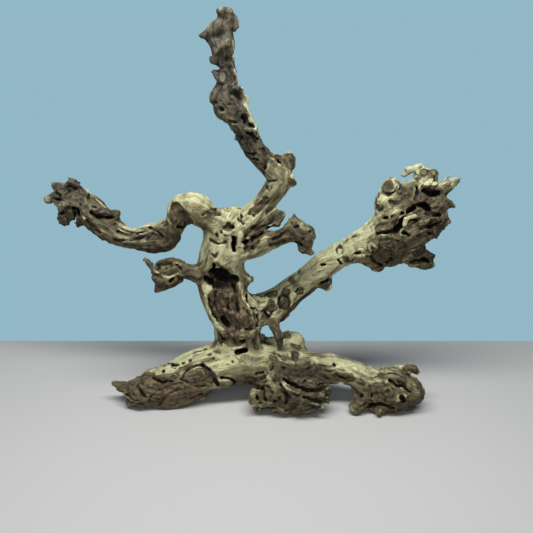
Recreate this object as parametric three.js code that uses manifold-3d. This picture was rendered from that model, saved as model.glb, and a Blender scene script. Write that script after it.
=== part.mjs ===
// A branching piece of coral wood: sand-blasted driftwood, gnarled and hollowed, standing on its roots.
// Millimetres. +X runs to the right, +Y away from the viewer, +Z up, with the surface it stands on at z = 0.
// A limb is a run of stations [x, y, z, radius]. Knobs and hollows are shorter runs, or a single ball.

import * as THREE from 'three';
import { mergeVertices } from 'three/addons/utils/BufferGeometryUtils.js';
import Module from 'manifold-3d';

const wasm = await Module();
wasm.setup();

// Driving dimensions
const HAIRLINE = 0.35; // gap between a limb and the one that carries it
const ROW_LENGTH = 9.5; // one facet along a limb
const THICK_LIMB = 13; // radius from which a limb gets the most sides
const THIN_LIMB = 6; // radius under which it gets the fewest
const SIDES = { thick: 10, middle: 7, thin: 5 };
const BLUNT_END = 9; // radius from which an end is rounded by two rows, and under which it comes to a point
const FLUTE = 0.07; // share of its radius by which a limb's four long ridges stand proud
const FLUTES = 4;
const FLUTE_TWIST = 0.25; // radians that the ridges turn from row to row
const FOOTPRINT_CENTRE = { x: -17.48, y: 6.73 }; // middle of the piece, seen from above
const GROUND_BLOCK = 600; // side of the block that cuts the feet off flat
const WELD = 1e-4; // corners nearer than this are one
const SWELL = { broad: 1.3, close: 1 }; // heights of the surface's slow waves

const SAPWOOD = 0xb3a06f;
const HEARTWOOD = 0x7d6547;

// The wood, from the roots outwards. Each limb is trimmed to those before it.
const WOOD = {
  root_crown: {
    colour: SAPWOOD,
    limb: [[-40, -10, 34, 21], [-24, -9, 34, 22], [-6, -9, 32, 22], [16, -9, 29, 21], [34, -12, 28, 18]],
    knobs: [[[-12, 8, 40, 14], [12, 10, 38, 13]]],
    hollows: [[[19, -27, 41, 5]]],
  },
  left_root: {
    colour: SAPWOOD,
    limb: [
      [-38, -12, 34, 19], [-62, -17, 30, 21.5], [-85, -23, 23, 20], [-108, -27, 18, 17],
      [-120, -28, 17, 13], [-132, -25, 18, 8], [-143, -22, 19, 4.5],
    ],
    knobs: [
      [[-116, -28, 13, 11], [-126, -31, 6, 6.5]],
      [[-104, -21, 27, 8], [-110, -18, 29, 5]],
      [[-80, -28, 9, 10], [-98, -28, 7, 9]],
      [[-72, -2, 33, 11]],
    ],
    hollows: [[[-72, -38, 36, 7], [-56, -36, 40, 9]], [[-92, -38, 34, 4], [-80, -36, 38, 4]]],
  },
  right_root: {
    colour: SAPWOOD,
    limb: [
      [38, -13, 29, 16], [58, -16, 31, 15], [74, -20, 31, 13.5], [92, -26, 26, 15],
      [108, -32, 20, 18], [122, -33, 20, 18], [133, -33, 18, 13], [138, -33, 15, 9],
    ],
    knobs: [
      [[118, -26, 32, 9], [130, -22, 37, 4]],
      [[94, -34, 18, 10], [84, -41, 9, 7.5]],
      [[102, -37, 9, 9], [105, -43, 5, 6.5]],
      [[116, -35, 8, 11], [130, -33, 7, 10]],
      [[112, -16, 22, 11]],
    ],
    hollows: [[[110, -49, 33, 4], [124, -48, 31, 4]], [[122, -52, 20, 4.5]], [[100, -50, 13, 5]]],
  },
  back_root: {
    colour: SAPWOOD,
    limb: [[14, -2, 36, 14], [25, 14, 40, 13], [31, 30, 27, 12.5], [36, 46, 13, 12], [39, 58, 7, 10.5]],
    knobs: [[[42, 50, 8, 9], [52, 61, 4, 6.5]], [[31, 59, 6, 8], [25, 68, 4, 5]]],
    hollows: [],
  },
  front_burl: {
    colour: HEARTWOOD,
    limb: [[-3, -38, 17, 14], [10, -39, 19, 17.5], [28, -40, 19, 19], [44, -40, 19, 15], [51, -40, 18, 11]],
    knobs: [
      [[-8, -42, 14, 8], [-6, -40, 7, 7]],
      [[8, -31, 34, 10], [20, -30, 36, 10]],
      [[52, -40, 26, 6]],
      [[20, -45, 8, 10], [36, -45, 7, 9]],
    ],
    hollows: [
      [[20, -58, 24, 6], [28, -58, 20, 6]],
      [[42, -56, 22, 4], [54, -50, 19, 4]],
      [[2, -54, 18, 4.5]],
    ],
  },
  trunk: {
    colour: SAPWOOD,
    limb: [
      [-28, -3, 40, 20], [-27, 0, 54, 22], [-30, 0, 74, 21.5], [-36, -2, 92, 22],
      [-41, -4, 114, 23], [-41, -6, 137, 20], [-37, -8, 157, 18.5], [-33, -9, 172, 14],
    ],
    knobs: [
      [[-26, -6, 120, 10], [-17, -8, 119, 5]],
      [[-20, -10, 88, 15], [-17, -12, 76, 13]],
      [[-28, -10, 181, 6]],
      [[-46, 14, 104, 10], [-44, 12, 90, 8]],
    ],
    hollows: [
      [[-51, -25, 121, 9], [-40, -27, 127, 11], [-29, -26, 121, 9]],
      [[-46, -28, 106, 8], [-42, -31, 92, 10], [-36, -29, 72, 8]],
      [[-20, -24, 54, 5]],
      [[-32, -28, 158, 4], [-31, -28, 149, 4]],
      [[-32, -27, 174, 4.5]],
    ],
  },
  left_arm: {
    colour: SAPWOOD,
    limb: [
      [-40, -8, 168, 13], [-50, -11, 179, 14], [-63, -13, 185, 15], [-75, -10, 183, 14],
      [-84, -3, 169, 13], [-94, 4, 157, 14.5], [-110, 8, 153, 13], [-128, 10, 156, 10.5],
      [-145, 13, 165, 13], [-158, 16, 175, 15], [-170, 19, 184, 17], [-182, 21, 188, 13], [-190, 22, 190, 8],
    ],
    knobs: [
      [[-165, 17, 193, 8], [-175, 14, 203, 5]],
      [[-182, 22, 194, 8], [-192, 23, 198, 4.5]],
      [[-186, 24, 187, 6], [-201, 26, 184, 3.5]],
      [[-182, 19, 178, 11], [-185, 17, 169, 8]],
      [[-170, 18, 170, 9], [-173, 18, 164, 6]],
      [[-145, 13, 171, 7], [-132, 9, 175, 5.5]],
      [[-64, 2, 188, 9]],
      [[-160, 30, 176, 8]],
    ],
    hollows: [
      [[-168, 1, 180, 5.5]], [[-172, 5, 200, 4.5]],
      [[-88, -17, 172, 7], [-79, -23, 178, 5]],
      [[-51, -25, 188, 4.5], [-42, -23, 184, 4.5]],
      [[-116, -6, 160, 3.5], [-100, -11, 160, 3.5]],
    ],
  },
  left_spur: {
    colour: HEARTWOOD,
    limb: [
      [-52, -10, 124, 10], [-62, -14, 127, 10], [-73, -18, 130, 12], [-84, -21, 130, 14], [-91, -23, 128, 9],
    ],
    knobs: [
      [[-92, -23, 129, 6], [-98, -25, 137, 3.2], [-105, -26, 144, 2]],
      [[-90, -22, 125, 8], [-95, -23, 116, 4]],
    ],
    hollows: [[[-87, -36, 133, 9], [-78, -35, 132, 7]]],
  },
  upper_arm: {
    colour: HEARTWOOD,
    limb: [
      [-30, -9, 166, 12], [-19, -10, 178, 11], [-6, -12, 190, 9.5], [4, -14, 202, 10],
      [11, -16, 215, 12], [5, -17, 227, 12], [-10, -19, 237, 10.5], [-20, -22, 256, 10.5],
      [-27, -25, 270, 12], [-29, -26, 281, 12.5], [-29, -28, 292, 8.5], [-29, -29, 302, 7.6],
      [-33, -31, 316, 9], [-32, -32, 328, 8], [-30, -33, 337, 7.5],
    ],
    knobs: [
      [[12, -15, 223, 9], [19, -13, 230, 7]],
      [[17, -15, 216, 7], [22, -15, 210, 3.5]],
      [[-38, -33, 326, 5], [-48, -36, 323, 2.5]],
      [[-35, -31, 308, 5], [-41, -31, 307, 2.5]],
      [[-34, -29, 292, 5], [-41, -30, 299, 2]],
      [[-25, -31, 334, 5]],
      [[-39, -27, 280, 6.5]],
      [[-36, -26, 270, 6.5]],
      [[-6, -12, 176, 6], [12, -20, 183, 4.5]],
      [[-14, -16, 247, 7]],
    ],
    hollows: [
      [[-10, -22, 187, 4], [0, -24, 198, 4]], [[-29, -39, 302, 4.5], [-28, -39, 292, 5]],
      [[-18, -34, 256, 4.5]], [[-24, -38, 272, 4.5]],
    ],
  },
  right_spur: {
    colour: HEARTWOOD,
    limb: [
      [-26, -12, 148, 10], [-10, -16, 154, 9.5], [4, -20, 162, 8.5], [16, -23, 168, 9],
      [27, -26, 171, 9.5], [33, -27, 166, 9], [33, -27, 157, 7], [38, -28, 151, 3.5],
    ],
    knobs: [[[21, -25, 175, 6], [23, -26, 184, 2.2]], [[35, -28, 172, 5]]],
    hollows: [[[-2, -30, 160, 3.5], [8, -32, 165, 3.5]]],
  },
  right_arm: {
    colour: SAPWOOD,
    limb: [
      [-22, 4, 84, 14], [-4, 7, 84, 16], [12, 7, 91, 16], [24, 6, 103, 13.5], [36, 4, 114, 12.5],
      [53, 0, 130, 13], [70, -4, 143, 13.5], [86, -8, 151, 17], [104, -10, 161, 21],
      [120, -12, 171, 24], [134, -11, 180, 20], [142, -8, 188, 14],
    ],
    knobs: [
      [[106, -10, 178, 14], [103, -12, 192, 13], [105, -10, 203, 9.5]],
      [[118, -6, 194, 12], [133, -6, 200, 12], [137, -3, 208, 8]],
      [[133, 0, 213, 6]],
      [[143, 2, 212, 5.5]],
      [[148, -2, 197, 8], [160, 3, 203, 5], [167, 6, 207, 3]],
      [[152, -2, 188, 9], [160, 1, 187, 4.5]],
      [[146, -6, 172, 10], [155, -5, 171, 5]],
      [[138, -8, 162, 10], [149, -7, 163, 5]],
      [[124, -8, 148, 13], [138, -4, 138, 10], [146, -2, 133, 7]],
      [[94, -8, 140, 11], [101, -6, 130, 6]],
      [[110, -8, 146, 14]],
      [[54, -2, 119, 7], [55, -3, 112, 5]],
      [[132, 2, 214, 4], [133, 4, 221, 3], [117, 0, 214, 3]],
      [[118, 8, 176, 14]],
      [[90, 4, 156, 9]],
    ],
    hollows: [
      [[110, -34, 175, 7], [119, -35, 181, 7]], [[127, -29, 191, 7]], [[104, -26, 197, 4], [97, -25, 193, 4]],
      [[122, -25, 142, 6], [136, -20, 137, 6]], [[138, -30, 174, 6]],
      [[90, -27, 146, 4]], [[16, -11, 92, 5]],
    ],
  },
  hanging_twig: {
    colour: HEARTWOOD,
    limb: [[5, -2, 84, 6], [8, -8, 74, 4.6], [11, -13, 65, 4.6], [13, -15, 57, 3.6]],
    knobs: [[[13, -15, 66, 3.6], [19, -18, 69, 3.6]]],
    hollows: [],
  },
};

// How far the surface rises at a spot: two sets of crossed waves, a few centimetres long.
function swell({ x, y, z }) {
  const broad = Math.sin(x / 9 + z / 23) * Math.sin(z / 8 - y / 15);
  const close = Math.sin(y / 6 + x / 14) * Math.sin(z / 12 + x / 19);
  return SWELL.broad * broad + SWELL.close * close;
}

function sidesFor(radius) {
  if (radius >= THICK_LIMB) return SIDES.thick;
  return radius < THIN_LIMB ? SIDES.thin : SIDES.middle;
}

// Rings down a limb: the middle, the radius and the two directions across it, with rounded ends.
function ringsAlong(stations, grow) {
  const path = new THREE.CatmullRomCurve3(stations.map(([x, y, z]) => new THREE.Vector3(x, y, z)));
  const girth = new THREE.CatmullRomCurve3(stations.map(([, , , radius]) => new THREE.Vector3(radius, 0, 0)));
  girth.curveType = 'catmullrom'; // stations of equal girth are no distance apart
  const rows = Math.max(1, Math.round(path.getLength() / ROW_LENGTH));
  const frames = path.computeFrenetFrames(rows);
  const rings = [];
  for (let row = 0; row <= rows; row += 1) {
    const t = path.getUtoTmapping(row / rows);
    rings.push({
      middle: path.getPoint(t),
      radius: girth.getPoint(t).x + grow,
      along: frames.tangents[row],
      across: frames.normals[row],
      aside: frames.binormals[row],
    });
  }
  const cap = (ring, sign) => {
    const steps = ring.radius < BLUNT_END ? 1 : 2;
    return Array.from({ length: steps }, (_, step) => {
      const angle = (step * Math.PI) / (2 * steps);
      const middle = ring.middle.clone().addScaledVector(ring.along, sign * ring.radius * Math.cos(angle));
      return { ...ring, middle, radius: ring.radius * Math.sin(angle) };
    });
  };
  return [...cap(rings[0], -1), ...rings, ...cap(rings[rows], 1).reverse()];
}

// A limb is a sphere's net drawn out along its rings.
function limbGeometry(stations, grow) {
  const rings = ringsAlong(stations, grow);
  const sides = sidesFor(Math.max(...stations.map((station) => station[3])));
  const net = new THREE.SphereGeometry(1, sides, rings.length - 1);
  const spots = net.attributes.position;
  const outward = new THREE.Vector3();
  const spot = new THREE.Vector3();
  rings.forEach((ring, row) => {
    for (let side = 0; side <= sides; side += 1) {
      const angle = ((side % sides) / sides) * 2 * Math.PI;
      outward.copy(ring.across).multiplyScalar(Math.cos(angle)).addScaledVector(ring.aside, Math.sin(angle));
      const reach = ring.radius * (1 + FLUTE * Math.cos(FLUTES * angle + FLUTE_TWIST * row));
      spot.copy(ring.middle).addScaledVector(outward, reach);
      if (ring.radius > 0) spot.addScaledVector(outward, swell(spot));
      spots.setXYZ(row * (sides + 1) + side, spot.x, spot.y, spot.z);
    }
  });
  return net;
}

function ballGeometry([x, y, z, radius], grow) {
  return new THREE.OctahedronGeometry(radius + grow, 1).translate(x, y, z);
}

// A closed solid from a geometry, whichever way its net was wound.
function solidOf(geometry) {
  geometry.deleteAttribute('normal');
  geometry.deleteAttribute('uv');
  const merged = mergeVertices(geometry, WELD);
  const triVerts = [];
  for (let k = 0; k < merged.index.count; k += 3) {
    const [a, b, c] = [0, 1, 2].map((i) => merged.index.getX(k + i));
    if (a !== b && b !== c && c !== a) triVerts.push(a, b, c);
  }
  const build = (triangles) => new wasm.Manifold(new wasm.Mesh({
    numProp: 3,
    vertProperties: new Float32Array(merged.attributes.position.array),
    triVerts: new Uint32Array(triangles),
  }));
  const solid = build(triVerts);
  if (solid.volume() > 0) return solid;
  return build(triVerts.reverse());
}

function runSolid(stations, grow = 0) {
  return solidOf(stations.length > 1 ? limbGeometry(stations, grow) : ballGeometry(stations[0], grow));
}

// A limb with its knobs, before anything is cut from it.
function wholeLimb({ limb, knobs }, grow = 0) {
  return knobs.reduce((solid, knob) => solid.add(runSolid(knob, grow)), runSolid(limb, grow));
}

function geometryOf(solid) {
  const mesh = solid.getMesh();
  const geometry = new THREE.BufferGeometry();
  geometry.setAttribute('position', new THREE.BufferAttribute(mesh.vertProperties, mesh.numProp));
  geometry.setIndex(new THREE.BufferAttribute(mesh.triVerts, 1));
  const flat = geometry.toNonIndexed();
  flat.computeVertexNormals();
  return flat;
}

const ground = solidOf(
  new THREE.BoxGeometry(GROUND_BLOCK, GROUND_BLOCK, GROUND_BLOCK).translate(0, 0, -GROUND_BLOCK / 2),
);

const coralWood = new THREE.Group();
coralWood.name = 'coral_wood';
coralWood.position.set(-FOOTPRINT_CENTRE.x, -FOOTPRINT_CENTRE.y, 0);

const carriers = [];
for (const [name, part] of Object.entries(WOOD)) {
  const hollowed = part.hollows.reduce((solid, hollow) => solid.subtract(runSolid(hollow)), wholeLimb(part));
  const trimmed = carriers.reduce((solid, carrier) => solid.subtract(carrier), hollowed.subtract(ground));
  const material = new THREE.MeshStandardMaterial({ color: part.colour, roughness: 0.85, metalness: 0 });
  const mesh = new THREE.Mesh(geometryOf(trimmed), material);
  mesh.name = name;
  coralWood.add(mesh);
  carriers.push(wholeLimb(part, HAIRLINE));
}

export default coralWood;
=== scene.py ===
"""A branching piece of coral wood: pale sand-blasted driftwood, gnarled and hollowed, on its own roots.

The whole surface is one closed skin, worked out on a grid as the zero level of a distance field: round-sided
limbs melted into each other, then carved and roughened. It is parted at the forks into one piece per limb.
Lengths in the tables are millimetres. +X is right, +Y away from the viewer, +Z up, and the ground is z = 0.
"""

import math

import bpy
import numpy as np
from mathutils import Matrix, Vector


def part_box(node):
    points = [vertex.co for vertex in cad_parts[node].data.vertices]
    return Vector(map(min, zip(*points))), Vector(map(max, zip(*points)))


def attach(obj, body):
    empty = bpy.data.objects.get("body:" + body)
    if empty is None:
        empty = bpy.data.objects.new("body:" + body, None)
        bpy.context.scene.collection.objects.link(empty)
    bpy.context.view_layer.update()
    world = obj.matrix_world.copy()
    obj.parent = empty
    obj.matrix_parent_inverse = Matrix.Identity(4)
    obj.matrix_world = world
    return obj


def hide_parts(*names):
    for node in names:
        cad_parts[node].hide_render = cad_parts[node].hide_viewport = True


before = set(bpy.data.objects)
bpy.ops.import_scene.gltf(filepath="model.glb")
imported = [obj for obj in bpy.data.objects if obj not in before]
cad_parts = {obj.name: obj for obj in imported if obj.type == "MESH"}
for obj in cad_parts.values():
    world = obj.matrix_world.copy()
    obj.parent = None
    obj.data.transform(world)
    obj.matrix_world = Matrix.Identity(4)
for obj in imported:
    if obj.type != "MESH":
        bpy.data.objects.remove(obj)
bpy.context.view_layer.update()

# Sizes
MM = 0.001
FOOTPRINT_CENTRE = np.array([-17.48, 6.73, 0.0])  # middle of the wood in the tables' own coordinates
CELL = 0.85  # grid step
MARGIN = 5.0  # room round the CAD box
FAR = 40.0  # what the field holds where no limb is near
REACH = 14.0  # how far from a limb its field is worked out
SKIN = 6.0  # relief is worked out this near to the smooth surface
NORMAL_STEP = 2.0  # how far to each side the field is read for a normal
LIMB_STEP, DETAIL_STEP, GRAIN_STEP = 6.0, 4.0, 7.0  # lengths of a curve's straight stretches
THINNEST = 1.0  # least radius on a curve

# How softly shapes meet, as the distance over which they melt together
FORK_BLEND = 9.0
KNOB_BLEND = 5.0
LUMP_BLEND = 4.0
TWIG_BLEND = 2.0
BROAD_RIM = 2.5
SHARP_RIM = 0.8

# Hollows
BROAD_PX = 4.1  # a hollow with a wider half width is carved before the wood is roughened
HOLLOW_TAPER = 0.3  # a hollow's floor is this much narrower than its mouth
BROAD_RAGS, SHARP_RAGS = 0.8, 0.9  # how far a rim wanders
RAG_REACH = 3.0  # a rim is ragged this near to it

# Seeded knots and pits on the back
HIDDEN_KNOTS, HIDDEN_PITS = 40, 60
KNOT_SEED, PIT_SEED = 41, 42
TRIES = 12  # spots drawn for each one that is wanted
FACING_BACK = 0.3  # least Y of the normal at such a spot
OFF_GROUND = 8.0

# Grain, along each limb
LIMB_REACH = 22.0  # how far from a limb its grain is felt
GRAIN_BLEND = 1.5  # melting length of the grain where limbs meet
GRAIN_STRETCH = 0.12  # a mark's width as a share of its length
GRAIN_SIDE = (0.3, 1.0, 0.2)  # the way that the grain's first direction across a limb starts from
LIMB_SHIFT = 57.0  # each limb's grain is read from another place in the noise
LEAST_SHARE = 0.02  # a limb with less weight at a point is left out there

# Layers of noise: how broad the bumps are, and the seed
WARPS = [(17, 1), (17, 2), (17, 3)]
SWELLS = (27, 4)
LOBES = (21, 5)
CRESTS = (15, 6)
FOLDS = (9, 7)
PITS = (5.0, 8)
STRANDS = (4.6, 9)
BUMPS = (2.8, 10)
RAGS = (4.5, 11)
FIBRES = (2.4, 12)
RING_BENDS, RING_WAVES, RING_WARP = (11, 21), (5, 22), (13, 23)
BLOTCHES, SMALL_BLOTCHES = (19, 24), (8, 25)
STREAKS, THIN_STREAKS = (6, 27), (3.0, 28)
FIBRE_MARKS, FIBRE_SPECKS = (2.2, 29), (3.2, 30)
KNOT_RIM_SEED, KNOT_GAP_SEED = 31, 32
STAIN_EDGE = (5, 33)

# Colour
CREASE_REACH, HOLLOW_REACH = 2.4, 7.0  # half widths of the cubes in which wood is counted
STAIN_ROOM = 1.5  # a stain is worked out to this many radii from its run
PLAIN_BROWN = 0.27
MOST_BROWN = 1.25  # a brown stain adds nothing above this
# The hollow and crease amounts brown concave wood partly as dirt and partly as painted shade
SPOT_BROWN, BLOTCH_BROWN, HOLLOW_BROWN, CREASE_BROWN = 0.75, 0.3, 0.5, 0.35  # what each adds

# Spans over which a measure comes to count, from not at all to in full
HOLLOW_BROWNS, CREASE_BROWNS = (0.5, 0.64), (0.5, 0.62)
# ENCLOSED and CREASED set the painted shade in hollows and creases; the third span pales edges by wear and
# painted highlight
ENCLOSED, CREASED, WORN_AND_LIT = (0.56, 0.76), (0.54, 0.74), (0.46, 0.3)
# Painted shade deepens with how far a cavity is sunk
SUNKEN = (6.0, 19.0)  # millimetres under the smooth wood's surface
ROT_NEEDS_BROWN = (0.3, 0.6)
# Surfaces that look up are paled: bleaching and painted top light
LOOKING_UP = (-0.2, 0.9)
PITTED = (0.38, 0.75)
STAIN_RIM = (-0.1, 0.2)
KNOT_GAPS = (-0.5, 0.3)

# A knot's bell curves, as middle and width in its radii
KNOT_RING, KNOT_DIMPLE, KNOT_MOAT = (0.72, 0.24), (0, 0.35), (1.12, 0.14)
# KNOT_DARK_RIM and KNOT_EYE place the painted shade of a knot's rim crack and its dimple
KNOT_DARK_RIM, KNOT_EYE, KNOT_SWELL = (0.95, 0.2), (0, 0.5), (0, 1.1)
KNOT_THICKNESS = 1.4
UNEVEN = 0.3  # how far a knot's rim and a stain's rim wander

# The relief's layers: how high each is, and how far it is sunk so that the wood keeps its girth
SWELL_HEIGHT = 0.9
LOBE_HEIGHT, LOBE_SINK = 5.6, 1.9
CREST_HEIGHT, CREST_SINK = 3.2, 1.3
FOLD_HEIGHT, FOLD_SINK = 2.8, 0.9
STRAND_HEIGHT, STRAND_SINK = 1.4, 0.6
FIBRE_HEIGHT = 0.8
PIT_DEPTH = 1.4
BUMP_HEIGHT = 0.25
SLIMMING = 0.6  # the relief's crests would stand out past the real outline by this much

# The eye: where the photograph was taken from, in the tables' coordinates
FRAME_PX = 533
FOCAL_PX = 610.0
PITCH = math.radians(20.5)
EYE = np.array([0.0, -520.0, 323.0])
SENSOR_MM = 36.0
NEAREST, FARTHEST = 380.0, 720.0  # how far from the eye the wood may be

# Limbs as runs of stations [x, y, z, radius], from the roots outwards. Knobs are melted on, hollows cut out.
WOOD = {
    "root_crown": {
        "limb": [(-40, -10, 34, 20), (-24, -9, 34, 21), (-6, -9, 32, 21), (16, -9, 29, 20),
                 (34, -12, 28, 17)],
        "knobs": [[(-12, 8, 40, 14), (12, 10, 38, 13)]],
    },
    "left_root": {
        "limb": [
            (-38, -12, 34, 19), (-62, -17, 30, 20.5), (-85, -23, 23, 19), (-108, -27, 17, 15.5),
            (-120, -28, 16, 12), (-132, -25, 17, 6.5), (-143, -22, 19, 4),
        ],
        "knobs": [
            [(-116, -28, 13, 11), (-126, -31, 6, 6.5)],
            [(-104, -21, 26, 6.5), (-110, -18, 27, 3.5)],
            [(-64, -22, 12, 10), (-80, -27, 9, 10), (-98, -28, 7, 9)],
            [(-72, -2, 33, 11)],
        ],
    },
    "right_root": {
        "limb": [
            (38, -13, 29, 16), (58, -16, 31, 15), (74, -20, 31, 13.5), (92, -26, 26, 15),
            (108, -32, 20, 18), (122, -33, 20, 18), (133, -33, 18, 13), (138, -33, 15, 9),
        ],
        "knobs": [
            [(118, -26, 32, 9), (130, -22, 37, 4)],
            [(94, -34, 18, 10), (84, -41, 9, 7.5)],
            [(102, -37, 9, 9), (105, -43, 5, 6.5)],
            [(116, -35, 8, 11), (130, -33, 7, 10)],
            [(112, -16, 22, 11)],
        ],
    },
    "back_root": {
        "limb": [(14, -2, 36, 14), (24, 14, 40, 13), (28, 30, 27, 12), (34, 46, 12, 11), (38, 57, 5, 8.5)],
        "knobs": [
            [(40, 52, 5, 7.5), (48, 61, 3, 5)],
            [(31, 59, 6, 8), (25, 68, 4, 5)],
            [(16, 8, 41, 10.5), (26.5, 10, 45.5, 11.5)],
        ],
    },
    "front_burl": {
        "limb": [(-3, -38, 17, 13), (10, -38, 20, 15), (28, -38, 20, 16), (44, -39, 19, 13.5),
                 (51, -40, 18, 10)],
        "knobs": [
            [(-8, -42, 14, 8), (-6, -40, 7, 7)],
            [(8, -31, 34, 10), (20, -30, 36, 10)],
            [(52, -40, 26, 6)],
            [(8, -39, 7, 7.5), (20, -41, 7, 8), (36, -41, 7, 7.5)],
        ],
    },
    "trunk": {
        "limb": [
            (-28, -3, 40, 20), (-27, 0, 54, 22), (-30, 0, 74, 21.5), (-36, -2, 92, 22),
            (-41, -4, 114, 23), (-41, -6, 137, 20), (-37, -8, 157, 18.5), (-33, -9, 172, 14),
        ],
        "knobs": [
            [(-26, -6, 120, 10), (-17, -8, 119, 5)],
            [(-20, -10, 88, 15), (-17, -12, 76, 13)],
            [(-28, -10, 181, 6)],
            [(-46, 14, 104, 10), (-44, 12, 90, 8)],
        ],
        "hollows": [
            [(-51, -25, 121, 9), (-40, -27, 127, 11), (-29, -26, 121, 9)],
            [(-46, -28, 106, 8), (-42, -31, 92, 10), (-36, -29, 72, 8)],
        ],
    },
    "left_arm": {
        "limb": [
            (-40, -8, 166, 11), (-50, -11, 176, 11.5), (-63, -13, 186, 15), (-74, -10, 182, 13),
            (-81, -3, 169, 9.5), (-93, 4, 154.5, 14), (-110, 8, 152, 11.5), (-128, 10, 152, 9),
            (-145, 13, 162.5, 13), (-158, 16, 174, 13.5), (-170, 19, 183, 13.5), (-182, 21, 187, 11.5),
            (-188, 22, 190, 6.5),
        ],
        "knobs": [
            [(-167, 17, 191, 6.5), (-174, 14, 202, 5)],
            [(-182, 22, 193, 6), (-192, 23, 198, 3.5)],
            [(-186, 24, 187, 5), (-199, 26, 184, 3.4)],
            [(-182, 19, 178, 10.5), (-185, 17, 169, 8)],
            [(-170, 18, 170, 9), (-173, 18, 164, 5)],
            [(-148, 13, 170, 7), (-135, 9, 174, 5)],
            [(-64, 2, 185, 9)],
            [(-160, 30, 176, 8)],
        ],
    },
    "left_spur": {
        "limb": [
            (-52, -10, 125, 8), (-62, -14, 127, 7.5), (-74, -18, 131.5, 9), (-85, -21, 131, 13),
            (-91, -23, 128, 9),
        ],
        "knobs": [
            [(-92, -23, 129, 6), (-98, -25, 137, 3.2), (-105, -26, 144, 2)],
            [(-90, -22, 125, 8), (-95, -23, 116, 4)],
        ],
        "hollows": [[(-87, -36, 133, 9), (-78, -35, 132, 7)]],
    },
    "upper_arm": {
        "limb": [
            (-30, -9, 164, 10.5), (-17, -10, 176, 9.5), (-5, -12, 189, 8.8), (5, -14, 202, 9.6),
            (11, -16, 215, 11.5), (1, -17, 227, 10.5), (-10, -19, 237, 10), (-18, -22, 256, 10),
            (-27, -25, 270, 11.5), (-30, -26, 281, 11.5), (-29, -28, 292, 8), (-29, -29, 302, 6.4),
            (-33, -31, 316, 8.6), (-32, -32, 328, 8), (-30, -33, 338, 7.5),
        ],
        "knobs": [
            [(12, -15, 222, 7), (17, -13, 228, 4.5)],
            [(17, -15, 216, 6), (22, -15, 210, 3)],
            [(-38, -33, 326, 5), (-48, -36, 323, 2.5)],
            [(-34, -31, 308, 3.5), (-41, -31, 307, 1.8)],
            [(-34, -29, 292, 4), (-41, -30, 299, 1.6)],
            [(-25, -31, 333, 4.5)],
            [(-39, -27, 280, 6.5)],
            [(-36, -26, 270, 6.5)],
            [(-6, -12, 176, 6), (12, -20, 183, 4.5)],
            [(-14, -16, 247, 7)],
        ],
    },
    "right_spur": {
        "limb": [
            (-26, -12, 148, 10), (-10, -16, 154, 9.5), (4, -20, 162, 8.5), (16, -23, 168, 9),
            (27, -26, 171, 9.5), (33, -27, 166, 9), (33, -27, 157, 7), (38, -28, 151, 3.5),
        ],
        "knobs": [
            [(21, -25, 175, 6), (23, -26, 184, 2.2)],
            [(35, -28, 172, 5)],
            [(-16, -8, 162, 7), (-5, -9, 165, 6)],
        ],
    },
    "right_arm": {
        "limb": [
            (-22, 4, 84, 14), (-4, 7, 84, 16), (12, 7, 91, 16), (24, 6, 103, 13.5), (36, 4, 114, 12.5),
            (53, 0, 130, 12.5), (70, -4, 143, 12.5), (86, -8, 151, 15.5), (104, -10, 161, 19.5),
            (120, -12, 171, 24), (134, -11, 180, 20), (142, -8, 188, 14),
        ],
        "knobs": [
            [(106, -10, 178, 13), (104, -12, 192, 12), (106, -10, 204, 9.6)],
            [(118, -6, 194, 12), (133, -6, 200, 12), (137, -3, 208, 8)],
            [(133, 0, 213, 6)],
            [(143, 2, 212, 5.5)],
            [(148, -2, 197, 8), (160, 3, 203, 5), (167, 6, 207, 3)],
            [(152, -2, 188, 9), (160, 1, 187, 4.5)],
            [(146, -6, 172, 10), (155, -5, 171, 5)],
            [(138, -8, 162, 10), (149, -7, 163, 5)],
            [(124, -8, 148, 13), (138, -4, 138, 10), (146, -2, 133, 7)],
            [(94, -8, 140, 11), (101, -6, 131, 5)],
            [(110, -8, 146, 14)],
            [(54, -2, 119, 7), (55, -3, 112, 5)],
            [(118, 8, 176, 14)],
            [(90, 4, 155, 8)],
        ],
        "hollows": [
            [(110, -34, 175, 7), (119, -35, 181, 7)], [(127, -29, 191, 7), (127, -32, 191, 7)],
            [(122, -25, 142, 6), (136, -20, 137, 6)], [(138, -30, 174, 6), (136, -30, 172, 6)],
        ],
    },
    "hanging_twig": {
        "limb": [(5, -2, 84, 6), (8, -8, 74, 4.6), (11, -13, 65, 4.6), (13, -15, 57, 3.6)],
        "knobs": [[(13, -15, 66, 3.6), (19, -18, 69, 3.6)]],
    },
}
LIMBS = list(WOOD)
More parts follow.
